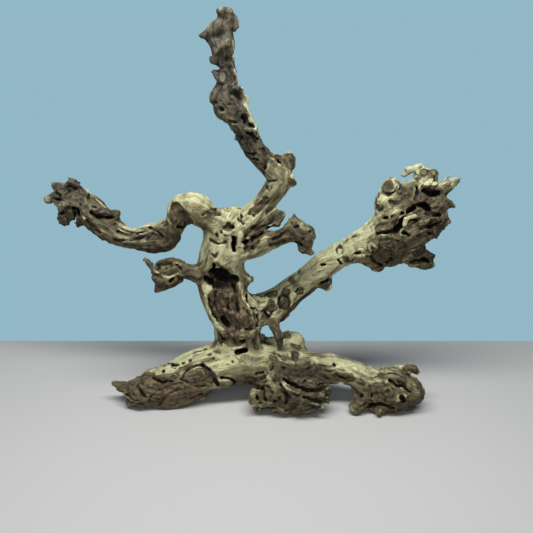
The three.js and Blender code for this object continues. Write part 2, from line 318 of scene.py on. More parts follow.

# Where the surface is gnarled, brown, pale, given painted bluish light, rotten or smoothly weathered: [x, y,
# z, reach, amount]
GNARLED = [
    (130, -12, 178, 40, 0.35), (-176, 19, 186, 34, 0.5), (26, -44, 22, 42, 0.5), (116, -34, 18, 34, 0.45),
    (-110, -28, 12, 34, 0.4), (-29, -26, 278, 26, 0.45), (-32, -32, 325, 26, 0.4), (16, -15, 222, 16, 0.4),
    (-88, -22, 128, 22, 0.3), (-34, -22, 80, 24, 0.2), (28, -26, 168, 20, 0.4),
    (70, -4, 143, 30, 0.25), (-14, -16, 250, 24, 0.4), (22, -30, 42, 22, 0.5), (10, 0, 88, 16, 0.35),
]
BROWN = [
    (140, -12, 176, 34, 0.85), (-180, 19, 184, 36, 0.8), (-148, 13, 166, 22, 0.65), (26, -46, 16, 44, 0.8),
    (116, -40, 8, 34, 0.7), (112, -26, 148, 26, 0.7), (90, -34, 16, 24, 0.6), (-96, -34, 10, 40, 0.85),
    (-29, -28, 300, 48, 1.0), (-14, -20, 250, 24, 0.9), (-92, -22, 128, 30, 1.0), (-66, -14, 128, 14, 0.6),
    (30, -26, 166, 26, 0.9), (120, -14, 140, 26, 0.6), (12, -12, 66, 14, 0.8), (-88, -10, 158, 17, 0.8),
    (-62, -24, 176, 8, 0.5), (-120, 8, 152, 18, 0.5), (-34, -22, 90, 22, 0.6), (-8, -28, 32, 30, 0.7),
    (40, -24, 26, 30, 0.35), (110, -46, 10, 20, 0.9), (-185, 10, 182, 30, 0.95), (12, -22, 100, 16, 0.3),
]
PALE_SPOTS = [
    (-64, -24, 192, 20, 0.9), (-30, -25, 150, 16, 0.8), (100, -26, 196, 16, 0.9), (8, -26, 208, 14, 0.8),
    (-20, -28, 40, 24, 0.35),
]
# Where painted bluish ambient light tints the darker wood
PAINTED_BLUE_LIGHT_SPOTS = [
    (-29, -28, 304, 52, 1.0), (-18, -20, 256, 30, 0.9), (-180, 19, 184, 40, 0.6), (-120, 8, 152, 30, 0.4),
]
ROTTEN = [
    (-36, -22, 108, 20, 1.0), (-34, -24, 84, 22, 1.0), (-64, -36, 22, 16, 0.7), (-92, -40, 16, 26, 0.7),
]
SMOOTH = [
    (-64, -24, 192, 20, 0.9), (-30, -25, 150, 16, 0.8), (8, -26, 208, 14, 0.7), (-20, -28, 40, 24, 0.8),
    (-44, -10, 172, 14, 0.6), (48, -10, 130, 20, 0.4), (102, -26, 194, 18, 0.8), (-64, -36, 24, 16, 0.6),
    (-88, -10, 158, 14, 0.5), (-88, -34, 130, 10, 0.6), (27, 8, 46, 20, 1.0), (134, -40, 20, 14, 0.7),
    (-80, -40, 14, 26, 0.5), (-9, -24, 262, 10, 0.9), (-3, -22, 248, 9, 0.8),
]

# Details, placed by where they are seen in the photograph. Runs of [px, py, half width in pixels].
# A hollow is cut this many millimetres deep.
HOLLOWS = {
    "hump_underside": (6, [(174, 208, 5.0), (179, 216, 8.0), (185, 223, 7.0), (190, 227, 4.0)]),
    "hump_underside_low": (8, [(179, 227, 3.0), (184, 229, 2.4)]),
    "hump_end_slit": (4, [(199, 228.5, 1.6), (204, 229.5, 1.2)]),
    "top_oval": (1.6, [(207, 214.5, 2.2), (213, 213, 3.4), (217, 213, 3.4)]),
    "top_oval_lip": (2, [(203.5, 215, 0.9), (209, 211, 1.1), (216, 209.5, 1.0)]),
    "top_knot_hole": (5, [(225, 228, 3.2), (228, 225.5, 3.6), (230.5, 228, 3.0)]),
    "top_knot_notch": (4, [(233, 226, 1.4), (233.5, 227.5, 1.2)]),
    "top_side_hole_a": (2, [(216.3, 235, 1.1), (216.8, 236, 1.0)]),
    "top_side_hole_b": (4, [(220.5, 231.5, 1.6), (221, 232.5, 1.5)]),
    "top_slit": (2.5, [(239, 219, 1.0), (241.5, 221.5, 1.4), (243.5, 224, 1.4)]),
    "top_dash": (3, [(240.5, 214.5, 0.9), (241.5, 217, 0.9)]),
    "top_lip_shadow": (1.6, [(210, 240.5, 0.9), (214, 243, 1.2), (220, 244, 1.2), (225, 242.5, 0.9)]),
    "swirl_cuts": (2, [(212.5, 254.5, 1.2), (215.5, 258, 1.3), (216.5, 254, 1.0)]),
    "slot": (15, [(234, 238.5, 2.8), (233.6, 245, 3.0), (233.5, 251, 2.2)]),
    "spur_root_oval": (3.5, [(246, 242, 2.6), (246, 249, 2.6)]),
    "spur_root_slit": (6, [(252, 240, 1.2), (252.3, 249, 1.2)]),
    "recess": (5, [(252, 237.5, 1.8), (257, 236.5, 2.2), (262, 233, 2.0)]),
    "stub_gap": (26, [(268, 228, 1.8), (272, 227.7, 2.4), (278, 226.3, 2.6), (284, 222, 2.4),
                      (288, 216.5, 2.2)]),
    "trough": (3, [(253, 211.5, 3.8), (259, 206, 3.8), (266, 199.5, 3.6)]),
    "trough_side": (1.5, [(252.5, 205, 1.6), (256, 202, 1.6)]),
    "trough_edge": (1.6, [(249.5, 214, 0.8), (251.5, 208, 0.9), (257, 201, 0.9), (264, 195.5, 0.8)]),
    "trough_edge_low": (1.6, [(254, 216, 0.8), (261, 210, 1.0), (268, 202, 0.9)]),
    "cavity_roof": (20, [(211, 273, 4.0), (218, 273, 6.0), (227, 277, 6.5), (234, 280, 5.0)]),
    "cavity_peak": (9, [(214, 264.5, 1.6), (214.5, 268, 3.0)]),
    "cavity_left": (10, [(206.5, 278, 3.4), (212, 282, 4.0)]),
    "cavity_middle": (9, [(217, 285, 5.0), (226, 287, 5.5), (231, 286, 5.0)]),
    "cavity_low": (6, [(216, 291, 4.0), (224, 292, 5.0), (232, 292, 6.0)]),
    "rot_face": (5.0, [(222, 300, 10.5), (224, 309, 10.5)]),
    "rot_column": (4.5, [(233, 284, 2.4), (235.5, 293, 2.2), (236, 303, 2.2), (238, 311, 1.6)]),
    "rot_groove": (2, [(217, 291, 0.9), (215, 301, 1.2), (217, 311, 1.0)]),
    "rot_groove_right": (1.8, [(226, 292, 0.9), (227.5, 300, 1.1), (228, 309, 0.9)]),
    "rot_edge": (4, [(209.5, 299, 1.4), (210.5, 306, 1.5), (214, 315, 1.6), (219, 322, 1.4)]),
    "rot_lobe_line": (1.8, [(243, 308, 0.9), (247, 311.5, 1.0), (250, 317, 0.9), (250, 323, 0.8)]),
    "rot_lobe_edge": (4, [(257.5, 315, 1.2), (258.5, 321, 1.4), (256, 328, 1.3)]),
    "rot_right": (4, [(236, 290, 4.0), (236, 300, 4.5), (236, 309, 4.0)]),
    "rot_foot": (5.5, [(221, 316, 7.0), (228, 323, 7.5), (236, 327, 6.0)]),
    "rot_deep_hole": (9, [(223, 318.5, 3.4), (226, 322, 4.0), (228, 326, 2.8)]),
    "rot_right_hole": (6, [(246.5, 329, 2.2), (250.5, 329.5, 2.4)]),
    "rot_small_hole": (4, [(233.5, 301, 1.8), (234, 303.5, 1.6)]),
    "rot_left_gap": (6, [(219.5, 334, 1.8), (223, 339, 2.2)]),
    "rot_low_hole": (5, [(241, 341, 1.6), (244, 341.3, 1.6)]),
    "rot_under": (3, [(228, 341, 4.5), (238, 344, 4.0)]),
    "trunk_foot_hole": (11, [(237.5, 352.5, 3.0), (242.5, 350.5, 3.2), (245.5, 350, 2.8)]),
    "arm_root_crack": (6, [(247, 294.5, 1.2), (247.5, 301.5, 1.4)]),
    "arm_root_gap": (12, [(253.5, 307.5, 1.4), (257, 311, 1.8), (258.6, 318, 1.8), (259, 326, 2.0)]),
    "club_hollow": (9, [(72.5, 208.5, 1.8), (77, 210.5, 3.0), (78, 214.5, 2.4)]),
    "club_hollow_low": (7, [(73.5, 213, 1.6), (75, 218, 1.8)]),
    "club_left_hollow": (5, [(57.5, 213, 1.6), (63, 213.5, 2.2)]),
    "club_under_spike": (4, [(56, 193, 1.6), (60, 196, 1.4)]),
    "club_spike_root": (4, [(56, 199.5, 1.6), (59.5, 199, 1.6)]),
    "club_top_hollow": (4, [(70.5, 186.5, 2.0), (75, 188, 2.2)]),
    "club_slot": (16, [(73.8, 219, 0.9), (73.6, 229, 1.0)]),
    "club_fissure": (4, [(82, 186, 1.0), (85.5, 189.5, 1.2)]),
    "club_ridge_holes": (3, [(92, 206, 1.4), (96, 207.5, 1.4)]),
    "club_ledge_shadow": (6, [(91, 212.5, 1.6), (97, 216.5, 2.2), (106, 217.5, 2.0), (113, 217.5, 1.6)]),
    "club_belly": (5, [(87, 221, 2.0), (92, 227, 3.0), (98, 232, 3.0)]),
    "club_groove": (3, [(80, 204, 1.4), (84, 208, 1.2)]),
    "left_arm_groove": (2.2, [(118, 231.5, 1.0), (126, 234.5, 1.3), (134, 234.5, 1.2), (143, 232.5, 0.9)]),
    "left_arm_low_groove": (2.5, [(116, 240.5, 1.0), (130, 240.2, 1.3), (138, 238.5, 1.1),
                                  (144, 236.3, 0.9)]),
    "left_arm_scar": (2.5, [(150, 233, 3.0), (158, 238, 4.5), (165, 243, 4.5)]),
    "left_arm_scar_line": (3, [(150, 228, 1.2), (157, 232, 1.4), (162, 236, 1.2)]),
    "spur_cup": (7, [(156, 267, 4.2), (163, 267.5, 6.0), (171, 266, 5.0)]),
    "spur_slit": (3, [(176.5, 264.5, 0.9), (181.5, 268.5, 1.2)]),
    "spur_under": (6, [(170, 281.5, 1.8), (173, 278.8, 1.4)]),
    "neck_notch": (16, [(209.5, 67, 3.4), (215, 67.5, 2.4)]),
    "neck_scoop": (3, [(228, 63, 5.0), (229, 72, 5.0), (229, 78, 4.4)]),
    "upper_dark_scoop": (3.5, [(233, 94, 3.4), (238, 94, 3.6), (240, 99, 3.0)]),
    "upper_hole_a": (3.5, [(220.5, 109, 2.2), (222, 109.5, 2.0)]),
    "upper_hole_b": (5, [(244, 117.5, 3.0), (246.5, 118.5, 2.6), (245, 122, 2.0)]),
    "upper_hole_c": (1.8, [(213.5, 102.5, 1.6), (215, 103, 1.4)]),
    "upper_hole_d": (2, [(230.5, 98, 1.4), (231, 99.5, 1.2)]),
    "upper_hole_e": (1.6, [(228, 105, 1.4), (231, 104.5, 1.2)]),
    "upper_slit": (2.5, [(230, 121.5, 1.4), (236, 122.5, 1.2)]),
    "upper_undercut": (5, [(247, 132.5, 1.2), (254, 134.5, 2.0), (258, 139.5, 1.8)]),
    "upper_undercut_high": (4, [(250, 125, 1.4), (254.5, 127.5, 1.2)]),
    "upper_hole_f": (2.5, [(238, 138.5, 1.4), (242, 137.5, 1.2)]),
    "upper_notch": (2.5, [(233.5, 131, 1.2), (234, 136, 1.2)]),
    "upper_low_curls": (4, [(247, 153, 1.4), (252, 155, 1.8), (256, 154, 1.4)]),
    "upper_right_groove": (3, [(263, 149, 1.6), (265, 157, 2.2), (265, 166, 1.6), (263.5, 173, 1.1)]),
    "upper_low_slit": (3, [(253, 159.5, 0.8), (257, 160, 0.9)]),
    "elbow_crease": (1.0, [(264, 179, 0.9), (268, 181, 1.2), (276, 180.5, 0.9)]),
    "elbow_under_spike": (2.6, [(292.5, 190, 3.4), (287.5, 197, 4.0), (282.5, 203, 3.4)]),
    "elbow_hole": (3, [(266, 187, 1.0), (268, 189.5, 1.0)]),
    "elbow_hand_gap": (4, [(277.5, 160, 1.4), (280, 162.5, 1.2)]),
    "elbow_hand_notch": (14, [(283, 150, 2.4), (284.5, 154.5, 1.4)]),
    "elbow_hand_side": (14, [(274, 150, 4.0), (275.5, 154.5, 2.0)]),
    "right_spur_eye": (3, [(294.5, 227, 1.6), (298, 226, 1.8)]),
    "right_spur_hole": (3, [(309.5, 231, 1.2), (311, 231, 1.0)]),
    "right_spur_groove": (2, [(272, 240, 0.9), (280, 236, 1.0), (286, 231, 0.9)]),
    "right_spur_groove_low": (2, [(270, 246, 1.0), (280, 243.5, 1.0), (290, 240, 0.9)]),
    "right_spur_belly": (4, [(298, 242.5, 1.6), (301, 245, 1.4)]),
    "arm_big_ring": (3.5, [(281, 308, 1.2), (279, 303, 1.3), (278.5, 298, 1.4), (283, 295, 1.6),
                           (288, 298, 1.6),
                           (289.5, 303, 1.6), (288.5, 308, 1.4)]),
    "arm_knot_c": (2.5, [(295.5, 292, 1.0), (299, 287.5, 1.2), (303, 289.5, 1.2)]),
    "arm_hole_a": (4, [(321.5, 265, 1.3), (325, 264.3, 1.3)]),
    "arm_knot_d": (2.2, [(336, 253, 1.1), (336.5, 249, 1.2), (339, 246.8, 1.2), (342, 249, 1.2),
                         (341, 253, 1.1)]),
    "arm_knot_d_eye": (3, [(339, 249.5, 1.2), (339, 250.5, 1.2)]),
    "arm_hole_b": (5, [(338.5, 261, 1.2), (341, 264.5, 1.4)]),
    "arm_hole_c": (5, [(344.5, 269.5, 1.2), (348, 266.5, 1.6), (351, 266, 1.2)]),
    "arm_hole_d": (5, [(355.5, 253.5, 1.6), (359.5, 252.7, 1.6)]),
    "arm_top_notch": (3, [(297.5, 270.5, 1.4), (298.5, 272, 1.2)]),
    "arm_low_hole": (6, [(322.5, 282, 2.0), (328, 280.5, 2.2)]),
    "arm_edge_slit": (4, [(333, 276, 1.2), (335, 279, 1.4)]),
    "arm_root_holes": (3, [(265, 312, 1.0), (268, 317, 1.2), (271, 314, 1.0)]),
    "burl_bow_tie": (1.6, [(390.5, 201.5, 2.2), (393.5, 205, 2.4), (398.5, 202.5, 2.2)]),
    "burl_bottom_hole_a": (4, [(384, 218, 1.2), (387, 218, 1.3)]),
    "burl_bottom_hole_b": (3, [(391, 217, 1.0), (392, 216, 1.0)]),
    "burl_valley_left": (8, [(377, 233, 1.4), (386, 232.3, 2.2), (394, 230.5, 3.0)]),
    "burl_valley": (15, [(396, 230, 3.6), (400.5, 225, 4.0), (402.5, 218.5, 3.6), (402, 213, 2.0)]),
    "burl_disc_groove": (1.6, [(381, 188, 0.9), (383.5, 193, 1.0), (389, 195, 1.0), (394.5, 192, 0.9)]),
    "burl_valley_low": (8, [(403, 232, 2.4), (408, 235, 2.0)]),
    "burl_cave_middle": (12, [(408.5, 212, 2.6), (414, 208, 3.2)]),
    "burl_cave_right": (14, [(419, 205, 2.4), (424, 206, 3.9), (428, 210.5, 3.6)]),
    "burl_cave_slit": (9, [(427, 213, 3.0), (433, 214.5, 2.6), (440, 215, 1.8)]),
    "burl_under_bulge": (11, [(424, 191, 2.6), (431, 193.5, 3.9), (438, 193, 3.4)]),
    "burl_strand_gap": (4, [(414, 222, 1.4), (424, 217.5, 1.6), (434, 220, 1.2)]),
    "burl_strand_gap_low": (4, [(421, 229, 1.2), (431, 226, 1.6), (440, 221.5, 1.2)]),
    "burl_hook_shadow": (7, [(409, 221, 1.6), (413, 219.5, 1.8), (416, 221, 1.4)]),
    "burl_left_crease": (5, [(416.5, 187, 1.4), (417.5, 191, 1.4), (414.5, 199, 1.2)]),
    "burl_low_fold": (5, [(417, 236, 1.2), (424, 235.5, 1.8), (431, 234.5, 1.4)]),
    "burl_low_slot": (5, [(402.5, 255.5, 1.5), (406.5, 253, 1.7)]),
    "burl_low_pocket": (5, [(386, 262.5, 1.8), (391, 259.5, 2.0)]),
    "burl_low_spot": (3, [(397, 258.5, 1.4), (398, 258.5, 1.3)]),
    "burl_low_crescent": (4, [(371, 257, 1.4), (375, 263, 1.8), (381, 265, 1.6)]),
    "burl_dark_cave": (13, [(411, 263, 2.2), (417, 261.5, 3.2), (424, 260.5, 3.0), (428, 262, 1.6)]),
    "burl_lobe_gap": (8, [(412, 250, 1.4), (417, 247.5, 2.4), (424, 244.5, 2.4)]),
    "crown_dark_knot": (3, [(294.5, 353.5, 3.4), (295.5, 358, 3.6)]),
    "crown_hole_a": (4, [(281.5, 368, 1.6), (284, 368.5, 1.6)]),
    "crown_hole_b": (5, [(273, 365.5, 1.4), (271, 369.5, 1.4)]),
    "crown_patch": (2.5, [(305, 371, 3.6), (312, 373, 4.0)]),
    "crown_gap": (9, [(284, 380, 1.6), (292, 384, 2.2), (302, 388, 2.6), (313, 390.5, 2.8), (322, 388.5, 2.4),
                      (331, 385.5, 1.6)]),
    "crown_gap_high": (5, [(319, 384, 1.2), (323, 383.5, 1.6), (327, 383.5, 1.2)]),
    "crown_left_gap": (7, [(250, 384, 2.4), (256, 387, 2.8), (262, 388, 2.4)]),
    "crown_left_gap_high": (5, [(256, 374, 1.4), (263, 372.5, 1.4)]),
    "front_left_hole": (5, [(256.5, 396, 1.8), (257.5, 399.5, 1.8)]),
    "front_left_pit": (4, [(260, 403, 1.4), (261, 404, 1.4)]),
    "front_hole": (5, [(273.5, 402, 1.8), (275.5, 401.2, 1.8)]),
    "front_nest": (7, [(286, 394, 2.4), (288, 399, 3.4), (286.5, 404, 2.4)]),
    "front_low_cave": (9, [(258, 410, 2.0), (264, 409, 3.0), (270, 408, 2.6), (274, 407.5, 1.8)]),
    "front_slit": (6, [(304, 397, 1.2), (309, 398.8, 1.8), (316, 400.2, 2.0), (322, 402.5, 1.8),
                       (328, 405, 1.4)]),
    "front_split": (5, [(280.5, 384, 1.0), (283, 389, 1.4), (284.5, 393, 1.6)]),
    "front_tooth_gap": (4, [(309, 405.5, 1.0), (317, 408, 1.3), (326, 408.5, 1.1)]),
    "front_left_split": (6, [(258, 386, 2.0), (262.5, 390, 2.0), (264, 396, 1.5), (265.5, 400, 1.0)]),
    "front_pit_a": (2, [(268.5, 386.4, 1.2), (269.5, 387, 1.0)]),
    "front_pit_b": (2, [(274.6, 381.3, 1.2), (275.5, 382, 1.0)]),
    "front_pit_c": (2, [(271, 392.5, 1.1), (272, 393.5, 1.0)]),
    "front_pit_d": (2.5, [(280, 398, 1.2), (280.5, 401, 1.0)]),
    "front_pit_e": (2, [(296, 403, 1.1), (298, 405, 1.0)]),
    "elbow_patch_dent_a": (1.6, [(251, 212, 1.4), (255, 209, 1.2)]),
    "elbow_patch_dent_b": (1.4, [(262, 200.5, 1.0), (267, 198.5, 1.4)]),
    "right_root_pit": (3, [(334, 364.5, 1.3), (335, 366, 1.2)]),
    "right_root_curl": (4, [(339, 377, 1.4), (345, 379, 1.6)]),
    "right_root_arch": (9, [(337, 385.5, 2.0), (343, 385, 2.2), (350, 388, 2.2)]),
    "right_foot_slit": (5, [(389, 380.5, 0.9), (394, 382.5, 1.3), (397, 386, 1.4), (402, 386.3, 1.2),
                            (406, 389.3, 1.5),
                            (410.5, 392, 0.9)]),
    "right_foot_pit_a": (2.5, [(398, 381.5, 1.2), (400, 382.5, 1.1)]),
    "right_foot_pit_b": (2.5, [(404, 384, 1.1), (405, 385.5, 1.0)]),
    "right_foot_hole": (7, [(402.5, 397.5, 3.0), (403.5, 401.5, 3.0)]),
    "right_toe_gap": (10, [(368, 407, 2.0), (373, 405, 2.6), (379, 404, 2.0), (386, 405.5, 1.6),
                           (393, 408.5, 1.4)]),
    "right_toe_hole_a": (4, [(360, 396, 1.4), (362, 395, 1.4)]),
    "right_toe_hole_b": (4, [(371.5, 395, 1.4), (372, 397.5, 1.4)]),
    "left_root_oval_deep": (6, [(202, 365, 1.6), (208, 370, 3.0), (213, 377, 3.0), (219, 386, 2.2)]),
    "left_root_oval_rim": (2, [(183, 377, 1.0), (187, 370.5, 1.0), (194, 366, 1.0), (202, 365, 1.2)]),
    "left_root_oval_low": (1.4, [(184, 381, 1.0), (190, 385, 1.2), (198, 387, 1.2), (207, 386, 1.2)]),
    "left_root_notch": (4, [(180.5, 379, 1.4), (183, 381, 1.2)]),
    "left_root_slit": (4, [(166.5, 363.8, 0.9), (172, 364, 1.1), (178, 365, 0.9)]),
    "left_root_slit_low": (3, [(172, 366.3, 0.8), (175.5, 367.5, 0.9)]),
    "left_root_pit_a": (3, [(189.7, 360, 1.4), (190.2, 361, 1.4)]),
    "left_root_pit_b": (2.5, [(183, 363.5, 1.5), (184.5, 363, 1.5)]),
    "left_root_pit_c": (2.5, [(204, 349.5, 1.2), (206, 348.5, 1.2)]),
    "left_root_pit_d": (2, [(163.5, 371, 1.2), (164, 372.5, 1.2)]),
    "left_root_pit_e": (2, [(208.5, 354.5, 1.4), (210, 354, 1.2)]),
    "left_root_pit_f": (2, [(212, 358.5, 1.1), (213.5, 358.5, 1.1)]),
    "crown_pit": (2, [(232.5, 361.5, 1.1), (233, 362.5, 1.1)]),
    "left_root_brow_shadow": (3, [(153, 378, 1.2), (160, 382, 1.4), (168, 381.5, 1.2), (174, 381, 1.2)]),
    "left_root_groove_a": (1.6, [(160, 404, 1.0), (168, 396, 1.2), (180, 390, 1.0)]),
    "left_root_groove_b": (1.6, [(176, 404, 1.0), (186, 397, 1.2), (200, 391, 1.0)]),
    "left_root_groove_c": (1.4, [(148, 402, 0.9), (154, 394, 1.1), (166, 388, 0.9)]),
    "left_root_toe_crease": (4, [(137, 386, 1.2), (141, 392, 1.4), (146, 398, 1.0)]),
    "left_root_toe_line": (3, [(122, 391, 0.9), (128, 396, 1.1)]),
    "left_root_under": (8, [(222, 378.5, 1.8), (228, 378.3, 1.4), (234, 381.5, 1.6), (237, 386, 1.4)]),
    "left_root_flank_groove": (2.0, [(200, 394, 1.0), (208, 392.5, 1.2)]),
}
# A lump stands this many millimetres out of the surface.
LUMPS = {
    "top_bump": (2.5, [(235.5, 212.5, 3.0)]),
    "slot_rim": (1.6, [(240, 236, 2.4), (241, 246, 3.2), (243, 256, 3.0)]),
    "recess_knob": (1.5, [(252, 233, 3.8)]),
    "cavity_left_lump": (2.5, [(207, 287, 4.6), (210, 289, 4.0)]),
    "cavity_ridge": (2.0, [(206, 297, 2.4), (207, 306, 2.8), (211, 315, 2.6), (218, 325, 2.4),
                           (228, 333.5, 2.0),
                           (240, 335.5, 1.8), (250, 335.5, 1.6)]),
    "rot_lobe": (4.0, [(247, 316, 6.5), (248, 323, 6.5)]),
    "rot_lobe_rim": (3.5, [(243.5, 300, 1.6), (246, 305, 1.8), (252, 310, 1.8), (256.5, 315, 1.8)]),
    "cavity_nub": (2.0, [(249.5, 279, 2.2)]),
    "club_ledge": (3.0, [(98, 210, 3.6), (108, 211.5, 3.6), (118.5, 212, 3.6)]),
    "club_top_knob": (2.5, [(70, 181, 3.2), (77, 184, 3.0)]),
    "club_column": (2.0, [(83, 207, 2.4), (84, 219, 2.2)]),
    "left_arm_knob": (1.6, [(149.5, 223.5, 2.2)]),
    "left_arm_strand": (1.4, [(157, 226, 1.4), (165, 229, 1.6), (172, 233, 1.3)]),
    "left_arm_top_strand": (1.2, [(116, 222, 1.6), (125, 229, 1.6), (137, 230.5, 1.6), (148, 228, 1.4)]),
    "spur_cup_rim": (1.8, [(156, 271, 1.2), (163, 276, 1.5), (170, 277.5, 1.5), (178, 273.5, 1.4),
                           (186, 269.5, 1.2)]),
    "neck_ring": (1.0, [(221, 79.5, 1.3), (228, 83, 1.3), (234, 84.8, 1.2), (237.5, 88, 1.2),
                        (239, 93, 1.1)]),
    "upper_right_ridge": (3.2, [(240.5, 93, 1.8), (244, 101, 2.8), (248.3, 113, 3.8), (252.5, 125, 4.0),
                                (257, 136, 3.0)]),
    "upper_ridge": (2.4, [(242, 128.5, 1.6), (249, 130, 1.8), (256, 127.5, 1.4)]),
    "upper_dark_knot": (1.2, [(264.5, 150, 3.6), (267, 155, 3.4)]),
    "burl_grey_lobe": (3.0, [(419, 198, 4.4), (423, 197, 4.4)]),
    "burl_bulge": (2.4, [(427, 185, 3.6), (434, 184, 4.0)]),
    "burl_brown_lobe": (3.0, [(434, 203, 5.0), (443, 204, 5.0)]),
    "burl_low_ridge": (1.8, [(383, 236, 2.0), (394, 237, 2.4), (404, 241, 2.0)]),
    "burl_strand_a": (2.4, [(406, 240, 2.2), (420, 232, 2.6), (437, 225, 2.4), (446, 222, 2.0)]),
    "burl_strand_b": (2.4, [(414, 227, 2.2), (428, 221, 2.8), (446, 217, 2.2)]),
    "burl_dark_lobe": (3.0, [(424, 251, 4.0), (432, 256, 4.0)]),
    "burl_jaw": (2.0, [(421, 267, 2.4), (430, 267, 3.6)]),
    "burl_low_nub": (1.6, [(380, 269, 2.4)]),
    "arm_big_knot": (1.6, [(283.5, 303, 4.0), (284, 306, 3.6)]),
    "arm_low_stub": (2.0, [(323, 285, 2.6), (327, 284, 2.4)]),
    "crown_hump": (1.5, [(297, 339, 8.0)]),
    "crown_tongue": (1.6, [(239, 374, 3.4), (240.5, 381, 2.6), (241, 386, 1.6)]),
    "left_root_under_lump": (1.6, [(228, 384, 3.2), (231, 386, 3.0)]),
    "right_root_bump": (1.8, [(328, 355, 2.6)]),
    "right_root_curl_rim": (2.2, [(337, 371, 1.6), (345, 373, 2.0), (353, 377, 1.8)]),
    "front_left_lobe": (2.0, [(252, 396, 2.8), (253, 404, 2.6)]),
    "front_upper_lobe": (3.4, [(269, 380, 4.4), (274, 388, 5.0), (275, 396, 4.4)]),
    "front_snout": (2.6, [(296, 400, 4.4), (308, 403, 3.6), (322, 405, 3.2)]),
    "front_snout_top": (2.6, [(300, 392, 3.0), (312, 394, 3.0), (324, 394, 3.6)]),
    "front_ridge": (2.2, [(285, 385, 2.2), (294, 391, 2.4), (308, 395, 2.0), (320, 393, 2.4)]),
    "front_low_lip": (1.6, [(278, 409, 2.4), (290, 412, 2.4), (300, 411, 2.0)]),
    "right_toe_upper": (2.0, [(350, 406, 3.0), (360, 404, 3.4)]),
    "right_toe_lower": (2.4, [(352, 411, 2.6), (358, 412, 2.6)]),
    "right_toe_small": (2.4, [(380.5, 411, 3.0), (379, 414, 2.8)]),
    "front_tooth": (1.6, [(311, 403.3, 1.2), (317, 404.8, 1.4), (322, 406, 1.1)]),
    "right_foot_dome": (2.0, [(416, 384, 8.0), (420, 393, 8.0)]),
    "right_foot_brow": (2.0, [(381, 381, 2.0), (392, 378, 2.2), (404, 380, 2.0)]),
    "left_root_brow": (1.4, [(156, 375.5, 2.2), (165, 377.5, 2.4), (175, 377, 2.0)]),
    "left_root_oval": (2.4, [(190, 377, 6.0), (197, 376.5, 7.0), (201, 375.5, 6.0)]),
    "left_root_dome": (3.0, [(143, 379, 4.6), (145, 381, 4.4)]),
}
# A ringed knot: [px, py, radius in pixels, how many millimetres its rim is raised].
KNOTS = {
    "burl_disc": (388.5, 186.5, 7.8, 0.6),
    "burl_disc_small": (399.5, 188.5, 4.6, 0.8),
    "burl_knot_a": (379, 194, 2.4, 0.6),
    "burl_knot_b": (375.5, 201.5, 2.4, 0.6),
    "burl_knot_c": (378, 207, 4.2, 0.8),
    "burl_end_a": (423.7, 172.2, 3.8, 0.8),
    "burl_end_b": (434.2, 173, 4.0, 0.8),
    "burl_low_knot": (372.6, 248.3, 4.8, 1.0),
    "burl_low_knot_b": (386, 250, 2.8, 0.6),
    "burl_bulge_knot": (434, 181.5, 1.9, 0.5),
    "arm_knot_b": (271.5, 294, 4.4, 0.8),
    "arm_knot_h": (271.5, 306.5, 4.6, 0.4),
    "arm_knot_i": (285, 291.7, 3.2, 0.5),
    "arm_knot_j": (299.7, 290.5, 4.4, 0.7),
    "arm_knot_k": (297.8, 270, 2.2, 0.6),
    "elbow_knot": (268.5, 187, 3.4, 0.5),
    "crown_swirl": (309, 370, 6.0, 0.5),
    "arm_knot_e": (347, 259.5, 4.2, 0.6),
    "arm_knot_f": (354, 235, 2.0, 0.6),
    "arm_knot_g": (292, 280, 2.6, 0.4),
    "top_knot_rim": (228.5, 228.5, 6.4, 0.8),
    "swirl_below": (226.8, 261, 4.0, 0.2),
    "root_knot_a": (370.5, 373.5, 2.4, 0.8),
    "root_knot_b": (380, 374.5, 2.2, 0.7),
    "foot_ring_knot": (387.5, 391.5, 5.2, 1.3),
    "front_end_knot": (327.5, 394.5, 4.2, 0.9),
    "foot_end_knot": (425, 398, 4.0, 0.7),
    "root_small_knot": (174, 376.4, 2.8, 0.8),
    "club_knot": (64, 222, 4.0, 0.6),
    "hand_knot": (292, 161, 3.0, 0.6),
    "club_tip": (48, 199, 3.0, 0.5),
}
